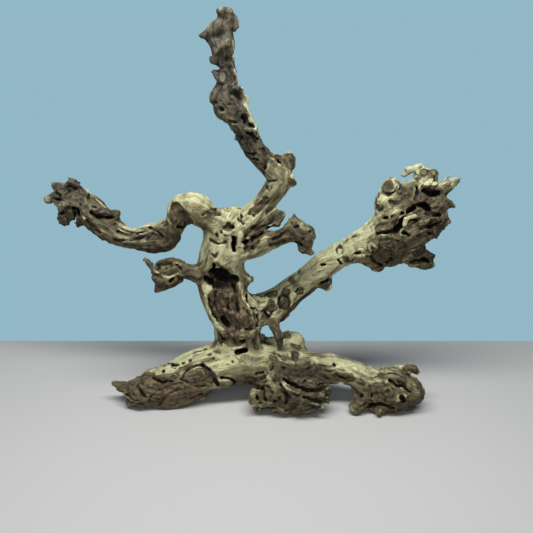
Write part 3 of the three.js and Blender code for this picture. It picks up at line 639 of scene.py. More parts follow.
# A stain browns the wood where it is positive, and bleaches it where it is negative. A few also paint shade
# or top light, as noted at each.
STAINS = {
    "hump_underside": (0.95, [(174, 207, 5.0), (178, 215, 9.0), (184, 223, 8.0), (190, 227, 4.0)]),
    "hump_edge": (-0.4, [(167, 210, 2.4), (169, 222, 3.0), (172, 230, 3.4)]),
    "top_oval": (0.7, [(209, 214.5, 2.6), (215, 213, 3.6)]),
    "top_knot": (0.5, [(228, 228, 5.4)]),
    "trough": (0.9, [(252.5, 211.5, 4.4), (259, 206, 4.0), (266, 199.5, 4.0)]),
    "spur_root": (0.8, [(246, 242, 3.2), (246, 250, 3.2)]),
    "recess": (0.95, [(249, 232, 4.4), (256, 232, 6.0), (263, 230, 5.0), (256, 240, 5.0), (249, 248, 5.0)]),
    "recess_right": (0.8, [(266, 232, 4.4), (272, 232, 4.4), (279, 230, 4.0)]),
    "elbow": (0.2, [(262, 184, 8.0), (276, 172, 10.0)]),
    "arm_knot_b": (0.75, [(268, 295, 3.6), (274, 293, 4.2)]),
    "rot_top": (0.9, [(213, 277, 4.0), (219, 280, 7.0), (230, 286, 9.0), (236, 296, 8.0)]),
    "rot": (0.9, [(222, 292, 11.0), (222, 304, 12.5), (228, 318, 11.0), (232, 328, 7.0)]),
    "rot_side": (0.8, [(238, 302, 6.0), (238, 312, 8.0)]),
    "rot_lobe": (0.8, [(244, 316, 9.0), (246, 325, 9.0)]),
    "rot_under": (0.9, [(222, 338, 5.0), (232, 342, 6.0), (243, 341, 5.0)]),
    "cavity_ridge": (-0.6, [(206, 297, 2.2), (207, 306, 2.4), (212, 316, 2.0), (222, 328.5, 1.4),
                            (232, 334.5, 1.2)]),
    "cavity_lump": (-0.9, [(206, 287, 4.8)]),
    "stub": (0.6, [(270, 218, 4.0), (278, 213, 5.0)]),
    "hanging_twig": (0.6, [(271, 321, 4.0), (277, 332, 4.4), (281, 344, 4.4)]),
    "right_rim": (-0.6, [(242, 290, 1.6), (244, 300, 1.8), (249, 307, 1.8), (256, 313, 1.6),
                         (257.5, 320, 1.2)]),
    "left_belly": (0.7, [(90, 225, 6.0), (104, 238, 6.0), (125, 246, 4.5), (143, 250, 4.5), (160, 250, 5.0)]),
    "left_knob": (0.65, [(151, 238, 7.0), (163, 243, 9.0)]),
    "club": (0.9, [(60, 190, 7.0), (72, 194, 11.0), (78, 214, 9.0), (66, 218, 9.0)]),
    "club_tip": (-1.4, [(47, 199.5, 3.4)]),
    "club_patch": (-0.5, [(60, 206, 3.4), (66, 203, 3.4)]),
    "club_column": (-0.4, [(83, 206, 2.2), (86, 217, 2.4)]),
    # Pale wood and painted top light along the club's ridge
    "club_ridge": (-0.9, [(78, 180, 1.6), (85, 189, 2.6), (95, 200, 2.8), (105, 207, 2.0)]),
    "club_ledge": (0.5, [(98, 212, 3.0), (110, 213, 3.6), (118, 213, 3.4)]),
    # Pale wood and painted top light along the top of the left arm, this line and the next
    "left_arm_line": (-0.5, [(117, 222, 1.6), (126, 229, 1.6), (140, 230.5, 1.4)]),
    "left_arm_line_low": (-0.5, [(119, 229, 1.0), (130, 233, 1.2), (143, 231, 1.0)]),
    "spur_rim": (-0.8, [(157, 272, 1.0), (163, 276, 1.2), (170, 277.5, 1.2), (178, 273.5, 1.0)]),
    # Pale wood and painted top light along the upper arm's right edge
    "upper_strip": (-0.7, [(233, 42, 2.0), (235, 58, 2.8), (239.5, 80, 3.6), (245, 97, 4.4), (250, 111, 4.8),
                           (255, 124, 4.8), (259.5, 135, 3.6)]),
    "upper_dark_edge": (1.0, [(266, 148, 4.0), (267, 156, 4.0), (266, 165, 3.2), (264, 173, 2.4)]),
    "upper_ring": (-0.5, [(222, 80, 1.0), (228, 83.5, 1.1), (235, 85.5, 1.1), (239, 91, 1.0)]),
    "head_streak": (-0.4, [(226, 38, 2.6), (225, 46, 2.6)]),
    "elbow_hand": (1.0, [(279, 158, 5.0), (288, 160, 9.0), (292, 170, 5.0)]),
    "elbow_hand_rim": (-0.6, [(282, 158, 0.9), (285, 153, 1.1), (288, 150.5, 1.1)]),
    "elbow_spike": (0.7, [(289, 180, 3.0), (294, 183, 3.6)]),
    "upper_low": (0.8, [(250, 150, 7.0), (257, 158, 7.0), (262, 167, 5.0), (264, 173, 2.4)]),
    "right_spur": (0.5, [(272, 242, 5.0), (295, 232, 8.0), (304, 242, 7.0)]),
    "right_spur_line": (-0.5, [(286, 240, 1.2), (293, 240.5, 1.2)]),
    "arm_knot_a": (0.8, [(283.5, 300, 6.0), (285, 306, 6.0)]),
    "arm_patch_a": (0.8, [(271, 303, 4.4), (271, 309, 4.2)]),
    "arm_patch_b": (0.7, [(284, 291, 3.2), (288, 292, 3.2)]),
    "arm_patch_c": (0.75, [(299.7, 290.8, 4.6)]),
    "arm_patch_d": (0.6, [(265, 316, 3.6), (270, 316, 3.2)]),
    "arm_patch_e": (0.5, [(290, 279, 3.6), (293, 281, 3.4)]),
    "arm_patch_f": (0.8, [(347, 259.5, 3.8)]),
    "arm_patch_g": (0.75, [(322, 284, 4.4), (329, 282, 4.4), (325, 288, 3.0)]),
    "arm_under": (0.7, [(282, 319, 5.0), (300, 300, 3.0), (316, 289, 3.0), (350, 270, 3.4), (366, 266, 3.0)]),
    "burl_disc": (0.65, [(388, 187, 6.6)]), "burl_disc_small": (0.9, [(399.5, 188.5, 4.4)]),
    "burl_tie": (0.95, [(390, 201.5, 2.8), (393.5, 205, 3.0), (398.5, 202.5, 2.8)]),
    "burl_knot_c": (0.8, [(377, 206, 3.6), (380, 208, 3.6)]),
    "burl_small_knots": (0.7, [(379, 194, 2.0), (375.5, 201.5, 2.0)]),
    "burl_middle": (0.6, [(403, 197, 3.6), (405, 207, 4.4), (411, 199, 5.0)]),
    "burl_valley": (0.9, [(378, 232, 4.0), (390, 231, 5.0), (400, 224, 6.0), (404, 214, 5.0)]),
    "burl_fringe": (0.8, [(378, 228, 4.6), (390, 224, 5.2), (400, 215, 4.6)]),
    "burl_cream_hook": (-2.0, [(404.5, 224, 2.4), (406.5, 219.5, 2.6), (410, 217.5, 2.6), (415.5, 217, 2.2)]),
    "burl_low_edge": (0.8, [(397, 234, 3.6), (399, 238, 3.4), (404, 238, 3.0)]),
    # Brown wood, and painted shade on the burl's lower right side that faces away from the light
    "burl_brown_and_shade": (0.9, [(430, 198, 15.0), (440, 212, 14.0), (424, 228, 11.0)]),
    "burl_right_edge": (0.4, [(448, 190, 6.0), (452, 205, 4.0), (446, 222, 5.0)]),
    "burl_bulge": (-0.7, [(427, 183, 3.4), (435, 182.5, 3.6)]),
    "burl_ends": (0.8, [(423.7, 172, 4.4), (434, 172.5, 4.6)]),
    "burl_end_a": (-0.6, [(423.7, 172, 2.4)]), "burl_end_b": (-0.6, [(434, 172.5, 2.4)]),
    "burl_low": (0.6, [(378, 255, 8.0), (388, 246, 10.0), (400, 246, 7.0)]),
    "burl_low_patch": (-0.5, [(404, 260, 2.6), (411, 256, 3.0)]),
    "burl_dark_lobe": (0.95, [(418, 252, 6.0), (430, 256, 8.0), (435, 252, 6.0), (430, 268, 5.0)]),
    "crown_dark_knot": (1.0, [(294.5, 354, 4.2), (295.5, 358, 4.2)]),
    "crown_left_patch": (0.85, [(272, 366, 4.0), (282, 368, 6.0), (292, 374, 7.0), (284, 380, 5.0)]),
    "crown_right_patch": (0.75, [(303, 368, 4.0), (312, 374, 5.6), (316, 378, 4.0)]),
    "crown_dash": (0.6, [(282, 346, 1.4), (292, 344.5, 1.4), (300, 346, 1.4)]),
    "left_flakes": (0.8, [(250, 378, 3.4), (258, 380, 4.4), (262, 386, 4.0)]),
    # Brown round the gap under the crown's lip, painted in as shade
    "crown_gap": (0.7, [(286, 381, 5.0), (302, 386, 6.0), (318, 387, 6.0), (330, 384, 4.0)]),
    "crown_hump": (-0.5, [(297, 338, 7.0)]),
    "hanging_twig_knob": (1.0, [(283, 335.5, 3.0), (287, 334, 3.4)]),
    "front_burl": (0.5, [(256, 400, 7.0), (270, 390, 9.0), (288, 402, 10.0), (306, 402, 9.0),
                         (322, 398, 7.0)]),
    "front_pale": (-0.15, [(254, 396, 2.4), (256, 405, 2.6)]),
    "front_pale_low": (-0.4, [(278, 404, 2.0), (288, 411, 2.4)]),
    "front_tooth": (-0.4, [(311, 403, 1.2), (317, 404.8, 1.4)]),
    "front_cream": (-0.32, [(281, 383, 1.4), (285, 387, 1.6), (290, 390, 1.4)]),
    "front_cream_low": (-0.35, [(264, 402, 1.6), (277, 402, 1.4)]),
    "right_toes": (-0.3, [(352, 408, 3.0), (360, 403, 3.0)]), "right_toe_small": (-0.4, [(380.5, 411, 2.4)]),
    # Paler olive wood, and a painted highlight on the lit lobe
    "front_lobe": (-0.3, [(267, 378, 3.4), (272, 386, 4.0), (275, 394, 3.4)]),
    "front_snout": (-0.35, [(298, 394, 2.0), (309, 398, 2.2), (321, 395, 2.4), (329, 396, 2.0)]),
    "root_curl": (0.8, [(338, 376, 5.0), (350, 378, 5.0)]),
    "foot_hook": (0.8, [(405, 371, 5.0), (410, 366, 5.0), (416, 369, 5.0)]),
    "right_foot": (0.5, [(360, 398, 8.0), (380, 394, 10.0), (402, 398, 10.0)]),
    "right_foot_side": (0.55, [(414, 378, 5.0), (421, 388, 6.0), (424, 398, 5.0)]),
    "left_root_top": (-0.8, [(152, 370, 3.0), (162, 370, 7.0), (174, 367, 9.0), (186, 357, 8.0)]),
    "left_root_oval": (0.9, [(190, 377, 6.0), (197, 376, 8.4), (204, 374, 7.0), (212, 380, 4.0)]),
    "left_root_flank": (0.5, [(138, 396, 9.0), (165, 396, 11.0), (190, 396, 9.0), (212, 392, 6.0)]),
    "left_root_toe": (0.4, [(115, 383, 4.0), (124, 388, 6.0), (130, 398, 5.0)]),
    "left_root_dome": (0.7, [(141, 379, 5.6), (146, 383, 4.6), (158, 386, 3.2)]),
    "left_root_spots": (0.5, [(183.5, 363.3, 2.4), (190, 360.5, 2.0)]),
    "left_root_knot": (0.6, [(173, 377, 3.0)]),
    "trunk_foot": (0.4, [(238, 352, 5.0), (244, 350, 5.0)]),
    # Pale wood, and painted light where light reaches the trunk's front top
    "trunk_top": (-0.85, [(215, 250, 7.0), (227, 258, 11.0), (238, 268, 5.0)]),
    "hump": (0.14, [(185, 200, 10.0), (204, 212, 10.0)]),
    "right_arm": (-0.3, [(306, 280, 6.0), (330, 262, 7.0), (350, 246, 6.0)]),
    "right_root": (-0.3, [(316, 360, 6.0), (350, 362, 6.0), (374, 372, 5.0)]),
}
# Thin twigs and spikes, each in an upright plane that lies this many millimetres back.
TWIGS = {
    "burl_twig": (2, [(424.5, 170, 2.2), (420.5, 165, 2.2), (414.5, 168.5, 3.4), (409, 171, 3.2),
                      (404.5, 175.5, 2.0), (401.5, 175, 1.2)]),
    "burl_twig_fork": (1, [(409, 168.5, 2.4), (405, 168.8, 1.2)]),
    "burl_end_stub": (0, [(423, 178, 3.6), (423.5, 172, 4.2)]),
    "burl_end_stub_b": (-2, [(433, 180, 4.4), (434, 173.5, 4.6)]),
    "burl_hair_twig": (0, [(441, 186, 1.6), (444, 181, 0.9), (449.5, 175.5, 0.8)]),
    "burl_spike_prong": (2, [(449, 184, 3.4), (455, 179.5, 2.2), (460, 177.5, 1.2)]),
    "burl_cream_hook": (-31, [(404.5, 225, 2.4), (406, 219.5, 2.5), (409.5, 217.5, 2.0), (415, 216.5, 1.8)]),
    "burl_edge_spike": (-3, [(447, 201, 2.6), (450, 203, 2.6), (454, 206.5, 1.8)]),
    "burl_edge_nub_a": (-4, [(446, 217, 2.4), (449, 222, 2.2)]),
    "burl_edge_nub_b": (-5, [(440, 226, 2.4), (443.5, 228.5, 1.8)]),
    "burl_edge_nub_c": (-6, [(431, 233, 2.2), (436.5, 238, 1.3)]),
    "club_spike": (26, [(60, 193.5, 4.0), (53, 196.5, 3.8), (47.5, 199.5, 3.6)]),
    "club_upper_spike": (22, [(67, 189, 4.4), (59, 186.5, 3.6), (52.5, 183, 1.2)]),
    "head_spike": (-36, [(217, 27, 7.4), (211, 32, 6.0), (205, 34.5, 3.4), (200.5, 35, 1.2)]),
    "head_wing": (-35, [(209, 37, 4.0), (215, 44, 5.6), (217, 50, 4.4)]),
    "head_top": (-37, [(219, 11, 3.2), (225, 10, 3.0), (230, 11, 3.0)]),
    "neck_spike_low": (-31, [(219, 62, 2.8), (215, 60, 1.6), (210.5, 58.4, 1.0)]),
    "neck_spike_high": (-30, [(220, 80, 3.0), (216, 75.5, 1.9), (214, 71.5, 1.0)]),
    "elbow_hand_a": (-13, [(282, 161, 4.4), (277.5, 156.5, 2.6)]),
    "elbow_hand_b": (-13, [(288, 166, 6.0), (288.5, 157, 5.6)]),
    "elbow_hand_c": (-12, [(291, 165, 4.6), (293.5, 158.5, 2.6)]),
    "elbow_spike": (-15, [(288, 178, 4.0), (295.5, 183, 1.6)]),
    "spur_thin_horn": (-26, [(153, 269, 2.4), (149, 263.5, 1.8), (145, 258.5, 1.4)]),
    "foot_hook": (-24, [(405, 374, 5.0), (408, 368.8, 4.2), (413.5, 368.8, 4.2), (417, 372, 2.8)]),
    "hanging_twig_knob": (-18, [(280.5, 336.5, 2.2), (286.5, 334, 3.4)]),
}


def smooth_least(a, b, blend):
    """The lesser of a and b, less h h blend / 4, where h is 1 - |a - b| / blend, and at least 0."""
    h = np.maximum(blend - np.abs(a - b), 0) / blend
    return np.minimum(a, b) - h * h * (blend / 4)


def smoothstep(low, high, x):
    """Eases from 0 at low to 1 at high: t t (3 - 2 t), where t is x's share of the way, held to 0 and 1."""
    t = np.clip((x - low) / (high - low), 0, 1)
    return t * t * (3 - 2 * t)


def bell(x, middle, width):
    """A bell curve: e to the power of minus the square of x's distance from the middle in widths."""
    return np.exp(-((x - middle) / width) ** 2)


def unit(rows):
    """Each row divided by its length."""
    return rows / np.maximum(np.linalg.norm(rows, axis=1, keepdims=True), 1e-9)


def spline(stations, step):
    """Points and radii about every step along the Catmull-Rom curve through the stations.

    Between p1 and p2 it is half of 2 p1 + (p2 - p0) t + (2 p0 - 5 p1 + 4 p2 - p3) t t
    + (3 p1 - p0 - 3 p2 + p3) t t t. The run is carried on straight at its ends.
    """
    s = np.array(stations, float)
    if len(s) == 1:
        return np.repeat(s, 2, axis=0)
    ends = np.concatenate([[2 * s[0] - s[1]], s, [2 * s[-1] - s[-2]]])
    rows = []
    for p0, p1, p2, p3 in zip(ends, ends[1:], ends[2:], ends[3:]):
        count = max(1, round(np.linalg.norm(p2[:3] - p1[:3]) / step))
        t = (np.arange(count) / count)[:, None]
        rows.append(0.5 * (2 * p1 + (p2 - p0) * t + (2 * p0 - 5 * p1 + 4 * p2 - p3) * t ** 2
                           + (3 * p1 - p0 - 3 * p2 + p3) * t ** 3))
    rows.append(s[-1:])
    out = np.concatenate(rows)
    out[:, 3] = np.maximum(out[:, 3], THINNEST)
    return out


class Grid:
    """A box of cells whose field is the distance to the wood's surface in millimetres, negative inside."""

    def __init__(self, low, high, cell):
        """An empty grid from the low corner to the high one."""
        self.cell = cell
        self.low = np.floor(low / cell) * cell
        self.shape = tuple(int(n) for n in np.ceil((high - self.low) / cell) + 1)
        self.axes = [(self.low[a] + cell * np.arange(self.shape[a])).astype(np.float32) for a in range(3)]
        self.field = np.full(self.shape, FAR, np.float32)

    def window(self, low, high, within=None):
        """The slices that cover a box, counted from the start of the window it lies within, and its axes."""
        slices, coords = [], []
        for a in range(3):
            start = within[a].start if within else 0
            stop = within[a].stop if within else self.shape[a]
            first = min(max(start, int((low[a] - self.low[a]) / self.cell)), stop)
            last = max(first, min(stop, int((high[a] - self.low[a]) / self.cell) + 2))
            slices.append(slice(first - start, last - start))
            shape = [1, 1, 1]
            shape[a] = -1
            coords.append(self.axes[a][first:last].reshape(shape))
        return tuple(slices), coords

    def sample(self, values, points):
        """The values at points: the mean of the eight cells round each, weighted by how near they are."""
        place = (points - self.low) / self.cell
        base = np.floor(place).astype(np.int64)
        base = np.clip(base, 0, np.array(self.shape) - 2)
        t = (place - base).astype(np.float32)
        total = np.zeros(len(points), np.float32)
        for corner in range(8):
            step = [(corner >> a) & 1 for a in range(3)]
            weight = np.prod([t[:, a] if step[a] else 1 - t[:, a] for a in range(3)], axis=0)
            total += weight * values[base[:, 0] + step[0], base[:, 1] + step[1], base[:, 2] + step[2]]
        return total

    def normals(self, spots):
        """The outward normals at spots: the field's slopes along the three axes, made a unit long."""
        slopes = []
        for axis in range(3):
            step = np.zeros(3)
            step[axis] = NORMAL_STEP
            slopes.append(self.sample(self.field, spots + step) - self.sample(self.field, spots - step))
        return unit(np.stack(slopes, axis=1))


def cell_points(coords, cells):
    """Where the chosen cells of a window lie, from its axes."""
    return np.stack([coords[a].ravel()[cells[a]] for a in range(3)], axis=1)


def around(grid, stations):
    """The window that holds a run of stations with room round it, and its axes."""
    stations = np.array(stations, float)
    reach = stations[:, 3:] + REACH
    return grid.window((stations[:, :3] - reach).min(0), (stations[:, :3] + reach).max(0))


def run_distance(coords, a, b):
    """Distance from each cell to the line from station a to station b, less the radius there."""
    along = b[:3] - a[:3]
    length2 = max(float(along @ along), 1e-6)
    offset = [coords[k] - np.float32(a[k]) for k in range(3)]
    t = sum(offset[k] * np.float32(along[k] / length2) for k in range(3))
    t = np.clip(t, 0, 1)
    square = sum((offset[k] - t * np.float32(along[k])) ** 2 for k in range(3))
    return np.sqrt(square) - (np.float32(a[3]) + t * np.float32(b[3] - a[3]))


def run_field(grid, window, stations, step):
    """Least distance to a run's stretches, in a window of the grid. Each is worked out near itself alone."""
    rows = spline(stations, step)
    field = np.full([s.stop - s.start for s in window], FAR, np.float32)
    for a, b in zip(rows, rows[1:]):
        reach = max(a[3], b[3]) + REACH
        part, coords = grid.window(np.minimum(a, b)[:3] - reach, np.maximum(a, b)[:3] + reach, window)
        np.minimum(field[part], run_distance(coords, a, b), out=field[part])
    return field


def grow_wood(grid):
    """Fills the grid with the smooth wood, and returns the nearest limb's number in each cell."""
    nearest = np.full(grid.shape, FAR, np.float32)
    label = np.zeros(grid.shape, np.uint8)
    for number, part in enumerate(WOOD.values()):
        window, _ = around(grid, part["limb"] + sum(part["knobs"], []))
        limb = run_field(grid, window, part["limb"], LIMB_STEP)
        for knob in part["knobs"]:
            limb = smooth_least(limb, run_field(grid, window, knob, LIMB_STEP), KNOB_BLEND)
        label[window][limb < nearest[window]] = number
        np.minimum(nearest[window], limb, out=nearest[window])
        grid.field[window] = smooth_least(grid.field[window], limb, FORK_BLEND)
    return label


# Gradient noise: slopes towards the middles of a cube's twelve edges, four of them twice, and large primes
GRADIENTS = np.array([
    (1, 1, 0), (-1, 1, 0), (1, -1, 0), (-1, -1, 0), (1, 0, 1), (-1, 0, 1), (1, 0, -1), (-1, 0, -1),
    (0, 1, 1), (0, -1, 1), (0, 1, -1), (0, -1, -1), (1, 1, 0), (-1, 1, 0), (0, -1, 1), (0, -1, -1),
], np.float32)
PRIME_X, PRIME_Y, PRIME_Z, PRIME_SEED = 374761393, 668265263, 2246822519, 3266489917
NOISE_GAIN = 1.4


def scramble(x, y, z, seed):
    """A well mixed 32-bit number for each whole-numbered place: products, folded on themselves by shifts."""
    h = x * np.uint32(PRIME_X) + y * np.uint32(PRIME_Y) + z * np.uint32(PRIME_Z)
    h += np.uint32(seed * PRIME_SEED % 2 ** 32)
    h ^= h >> np.uint32(15)
    h *= np.uint32(PRIME_Z)
    h ^= h >> np.uint32(13)
    h *= np.uint32(PRIME_SEED)
    return h ^ (h >> np.uint32(16))


def noise(points, size, seed):
    """Gradient noise between about -1 and 1, whose bumps are size across.

    Each corner of a point's cube of that size has a random slope. The heights that the slopes give at the
    point are mixed with the weights t t t (t (6 t - 15) + 10) along each axis.
    """
    place = (points / np.float32(size)).astype(np.float32)
    base = np.floor(place)
    t = place - base
    ease = t * t * t * (t * (t * 6 - 15) + 10)
    whole = base.astype(np.int32).astype(np.uint32)
    total = np.zeros(len(points), np.float32)
    for corner in range(8):
        step = [(corner >> a) & 1 for a in range(3)]
        h = scramble(*(whole[:, a] + np.uint32(step[a]) for a in range(3)), seed)
        g = GRADIENTS[h & np.uint32(15)]
        dot = sum(g[:, a] * (t[:, a] - step[a]) for a in range(3))
        weight = 1
        for a in range(3):
            weight = weight * (ease[:, a] if step[a] else 1 - ease[:, a])
        total += weight * dot
    return total * NOISE_GAIN


def weigh(points, spots):
    """The strongest spot at each point: amount times e to minus the fourth power of distance / reach."""
    total = np.zeros(len(points), np.float32)
    for x, y, z, reach, amount in spots:
        square = ((points - np.array([x, y, z], np.float32)) ** 2).sum(1) / (reach * reach)
        total = np.maximum(total, amount * np.exp(-square * square).astype(np.float32))
    return total


def limb_frames(rows):
    """Two directions across a limb at each of its stations, carried along it without a twist."""
    tangents = unit(np.gradient(rows[:, :3], axis=0))
    side = np.array(GRAIN_SIDE)
    sides = []
    for tangent in tangents:
        side = side - tangent * (side @ tangent)
        side /= np.linalg.norm(side)
        sides.append(side)
    sides = np.array(sides, np.float32)
    return sides, np.cross(tangents, sides).astype(np.float32)


def limb_place(points, stations):
    """The points near one limb, their distances to it and their coordinates along its stretches.

    The coordinates are two across the limb, by the directions of the nearest stretch, and one along it.
    """
    rows = spline(stations, GRAIN_STEP)
    spots = rows[:, :3].astype(np.float32)
    sides, asides = limb_frames(rows)
    lengths = np.concatenate([[0], np.cumsum(np.linalg.norm(np.diff(spots, axis=0), axis=1))])
    low = (rows[:, :3] - rows[:, 3:]).min(0) - LIMB_REACH
    high = (rows[:, :3] + rows[:, 3:]).max(0) + LIMB_REACH
    near = np.nonzero(((points > low) & (points < high)).all(1))[0]
    own = points[near].astype(np.float32)
    best = np.full(len(near), FAR, np.float32)
    place = np.zeros((len(near), 3), np.float32)
    last = len(rows) - 2
    for k in range(last + 1):
        step = spots[k + 1] - spots[k]
        offset = own - spots[k]
        t = offset @ (step / (step @ step))
        held = np.clip(t, 0, 1)
        if k > 0:
            t = np.maximum(t, 0)
        if k < last:
            t = np.minimum(t, 1)
        away = offset - held[:, None] * step
        radius = rows[k, 3] + held * (rows[k + 1, 3] - rows[k, 3])
        distance = (np.sqrt((away * away).sum(1)) - radius).astype(np.float32)
        closer = np.nonzero(distance < best)[0]
        best[closer] = distance[closer]
        held, away = held[closer, None], away[closer]
        across = (away * (sides[k] + held * (sides[k + 1] - sides[k]))).sum(1)
        aside = (away * (asides[k] + held * (asides[k + 1] - asides[k]))).sum(1)
        along = lengths[k] + t[closer] * np.linalg.norm(step)
        place[closer] = np.stack([across, aside, along], axis=1)
    return near, best, place


class Grain:
    """Where points lie in the limbs near them, and how much each of those limbs counts there."""

    def __init__(self, points, wander):
        """The points' places, each pushed aside by its own wander so that the grain winds.

        A limb's weight falls off as e to minus how much farther than the nearest limb it is, in blends.
        """
        self.count = len(points)
        self.limbs = []
        least = np.full(self.count, FAR, np.float32)
        for number, part in enumerate(WOOD.values()):
            near, distance, place = limb_place(points, part["limb"])
            least[near] = np.minimum(least[near], distance)
            self.limbs.append((near, distance, place + wander[near] + np.float32(LIMB_SHIFT * number)))
        self.total = np.full(self.count, 1e-6, np.float32)
        for k, (near, distance, place) in enumerate(self.limbs):
            weight = np.exp((least[near] - distance) / np.float32(GRAIN_BLEND))
            keep = weight > LEAST_SHARE
            self.limbs[k] = (near[keep], weight[keep], place[keep])
            self.total[near[keep]] += weight[keep]

    def blend(self, measure):
        """The weighted mean of a measure of the coordinates, worked out limb by limb."""
        total = np.zeros(self.count, np.float32)
        for near, weight, place in self.limbs:
            total[near] += weight * measure(place)
        return total / self.total


def stretched(place, size, seed):
    """Noise drawn out along the grain."""
    return noise(place * np.array([1, 1, GRAIN_STRETCH], np.float32), size, seed)


def view_ways(pixels):
    """The way from the eye through each pixel of the photograph, a unit deep along its axis."""
    right = (pixels[:, 0] - FRAME_PX / 2) / FOCAL_PX
    up = (FRAME_PX / 2 - pixels[:, 1]) / FOCAL_PX
    forward = math.cos(PITCH) + up * math.sin(PITCH)
    return np.stack([right, forward, up * math.cos(PITCH) - math.sin(PITCH)], axis=1)


def seen(grid, pixels):
    """What the eye meets at each pixel: the spot, the surface's outward normal, and millimetres to a pixel.

    The field is read along the way through the pixel, and the spot is where it changes sign between two
    readings. Past the outline it is the spot where the way comes nearest to the wood.
    """
    ways = view_ways(pixels)
    step = grid.cell / 2
    depths = np.arange(NEAREST, FARTHEST, step)
    points = EYE + ways[:, None, :] * depths[None, :, None]
    values = grid.sample(grid.field, points.reshape(-1, 3)).reshape(len(pixels), -1)
    hit = np.where(values.min(1) < 0, np.argmax(values < 0, axis=1), np.argmin(values, axis=1))
    hit = np.maximum(hit, 1)
    row = np.arange(len(pixels))
    before, after = values[row, hit - 1], values[row, hit]
    share = np.where(after < 0, before / np.maximum(before - after, 1e-6), 1.0)
    depth = depths[hit - 1] + share * step
    spots = EYE + ways * depth[:, None]
    return spots, grid.normals(spots), depth / FOCAL_PX


def lumps_on(grid):
    """Runs of balls that stand out of the wood by their lump's height where the lumps are seen."""
    runs = []
    for proud, run in LUMPS.values():
        run = np.array(run)
        spots, normals, scale = seen(grid, run[:, :2])
        radii = run[:, 2] * scale
        runs.append(np.column_stack([spots + normals * (proud - radii)[:, None], radii]))
    return runs


def hollows_in(grid, broad):
    """Runs of stations that hollow the wood out where the hollows are seen: the broad ones or the others.

    A deep hollow is cut layer by layer from its mouth inwards, each layer a little narrower. A shallow one
    is cut by wider balls from outside: a ball of radius (w w + d d) / 2 d, sunk by d, opens w to each side.
    """
    runs = []
    for depth, run in HOLLOWS.values():
        run = np.array(run)
        if (run[:, 2].max() > BROAD_PX) != broad:
            continue
        spots, normals, scale = seen(grid, run[:, :2])
        radii = run[:, 2] * scale
        inward = (view_ways(run[:, :2]) - normals).mean(0)
        inward /= np.linalg.norm(inward)
        if depth < radii.max():
            balls = (radii ** 2 + depth ** 2) / (2 * depth)
            runs.append(np.column_stack([spots + inward * (depth - balls)[:, None], balls]))
            continue
        layers = max(2, math.ceil(depth / radii.min()))
        for layer in range(layers):
            share = layer / (layers - 1)
            sunk = share * np.maximum(depth - radii, 0)
            shrunk = radii * (1 - HOLLOW_TAPER * share)
            runs.append(np.column_stack([spots + inward * sunk[:, None], shrunk]))
    return runs


def knots_on(grid):
    """Each knot's middle, outward normal, radius and how far it is raised."""
    knots = []
    for px, py, radius, proud in KNOTS.values():
        spots, normals, scale = seen(grid, np.array([[px, py]]))
        knots.append((spots[0], normals[0], radius * scale[0], proud))
    return knots


def stains_on(grid):
    """Runs of stations on the carved wood, and how brown or pale each stain is."""
    stains = []
    for amount, run in STAINS.values():
        run = np.array(run)
        spots, _, scale = seen(grid, run[:, :2])
        stains.append((amount, np.column_stack([spots, run[:, 2] * scale])))
    return stains


def twig_stations(depth, run):
    """A run of pixels carried out to the upright plane that lies this far back."""
    run = np.array(run)
    ways = view_ways(run[:, :2])
    far = (depth - EYE[1]) / ways[:, 1]
    return np.column_stack([EYE + ways * far[:, None], run[:, 2] * far / FOCAL_PX])


def hidden_spots(grid, count, seed):
    """Seeded spots and normals on the wood's back, which the photograph doesn't show, and the generator."""
    chance = np.random.default_rng(seed)
    edge = np.stack(np.nonzero(np.abs(grid.field) < grid.cell), axis=1)
    spots = grid.low + grid.cell * edge[chance.integers(0, len(edge), TRIES * count)]
    normals = grid.normals(spots)
    hidden = (normals[:, 1] > FACING_BACK) & (spots[:, 2] > OFF_GROUND)
    return spots[hidden][:count], normals[hidden][:count], chance


def hidden_knots(grid):
    """Seeded knots on the back, like those of knots_on, 2 to 6 mm in radius."""
    spots, normals, chance = hidden_spots(grid, HIDDEN_KNOTS, KNOT_SEED)
    return [(spot, normal, chance.uniform(2, 6), chance.uniform(0.5, 1.2))
            for spot, normal in zip(spots, normals)]


def hidden_pits(grid):
    """Seeded pits on the back: short runs of two balls, each moved a little and sunk by up to 3 mm."""
    spots, normals, chance = hidden_spots(grid, HIDDEN_PITS, PIT_SEED)
    runs = []
    for spot, normal in zip(spots, normals):
        ends = [spot + chance.normal(0, 2.5, 3) - normal * chance.uniform(0, 3) for _ in range(2)]
        runs.append([(*end, chance.uniform(1.2, 2.6)) for end in ends])
    return runs


def join(grid, stations, blend):
    """Melts a run into the wood."""
    window, _ = around(grid, stations)
    run = run_field(grid, window, stations, DETAIL_STEP)
    grid.field[window] = smooth_least(grid.field[window], run, blend)


def carve(grid, stations, blend, ragged):
    """Cuts a run out of the wood, with an edge as sharp as the blend and as ragged as asked."""
    window, coords = around(grid, stations)
    hollow = run_field(grid, window, stations, DETAIL_STEP)
    edge = np.nonzero(hollow < RAG_REACH)
    hollow[edge] += ragged * noise(cell_points(coords, edge), *RAGS)
    grid.field[window] = -smooth_least(-grid.field[window], hollow, blend)


def knot_place(points, knot):
    """How far points lie from a knot's middle, in its radii and with an uneven rim, and above its disc."""
    spot, normal, radius, _ = knot
    offset = points - spot.astype(np.float32)
    height = offset @ normal.astype(np.float32)
    rho = np.sqrt(np.maximum((offset ** 2).sum(1) - height ** 2, 0)) / np.float32(radius)
    return rho * (1 + UNEVEN * noise(points, 1.5 * radius, KNOT_RIM_SEED)), height


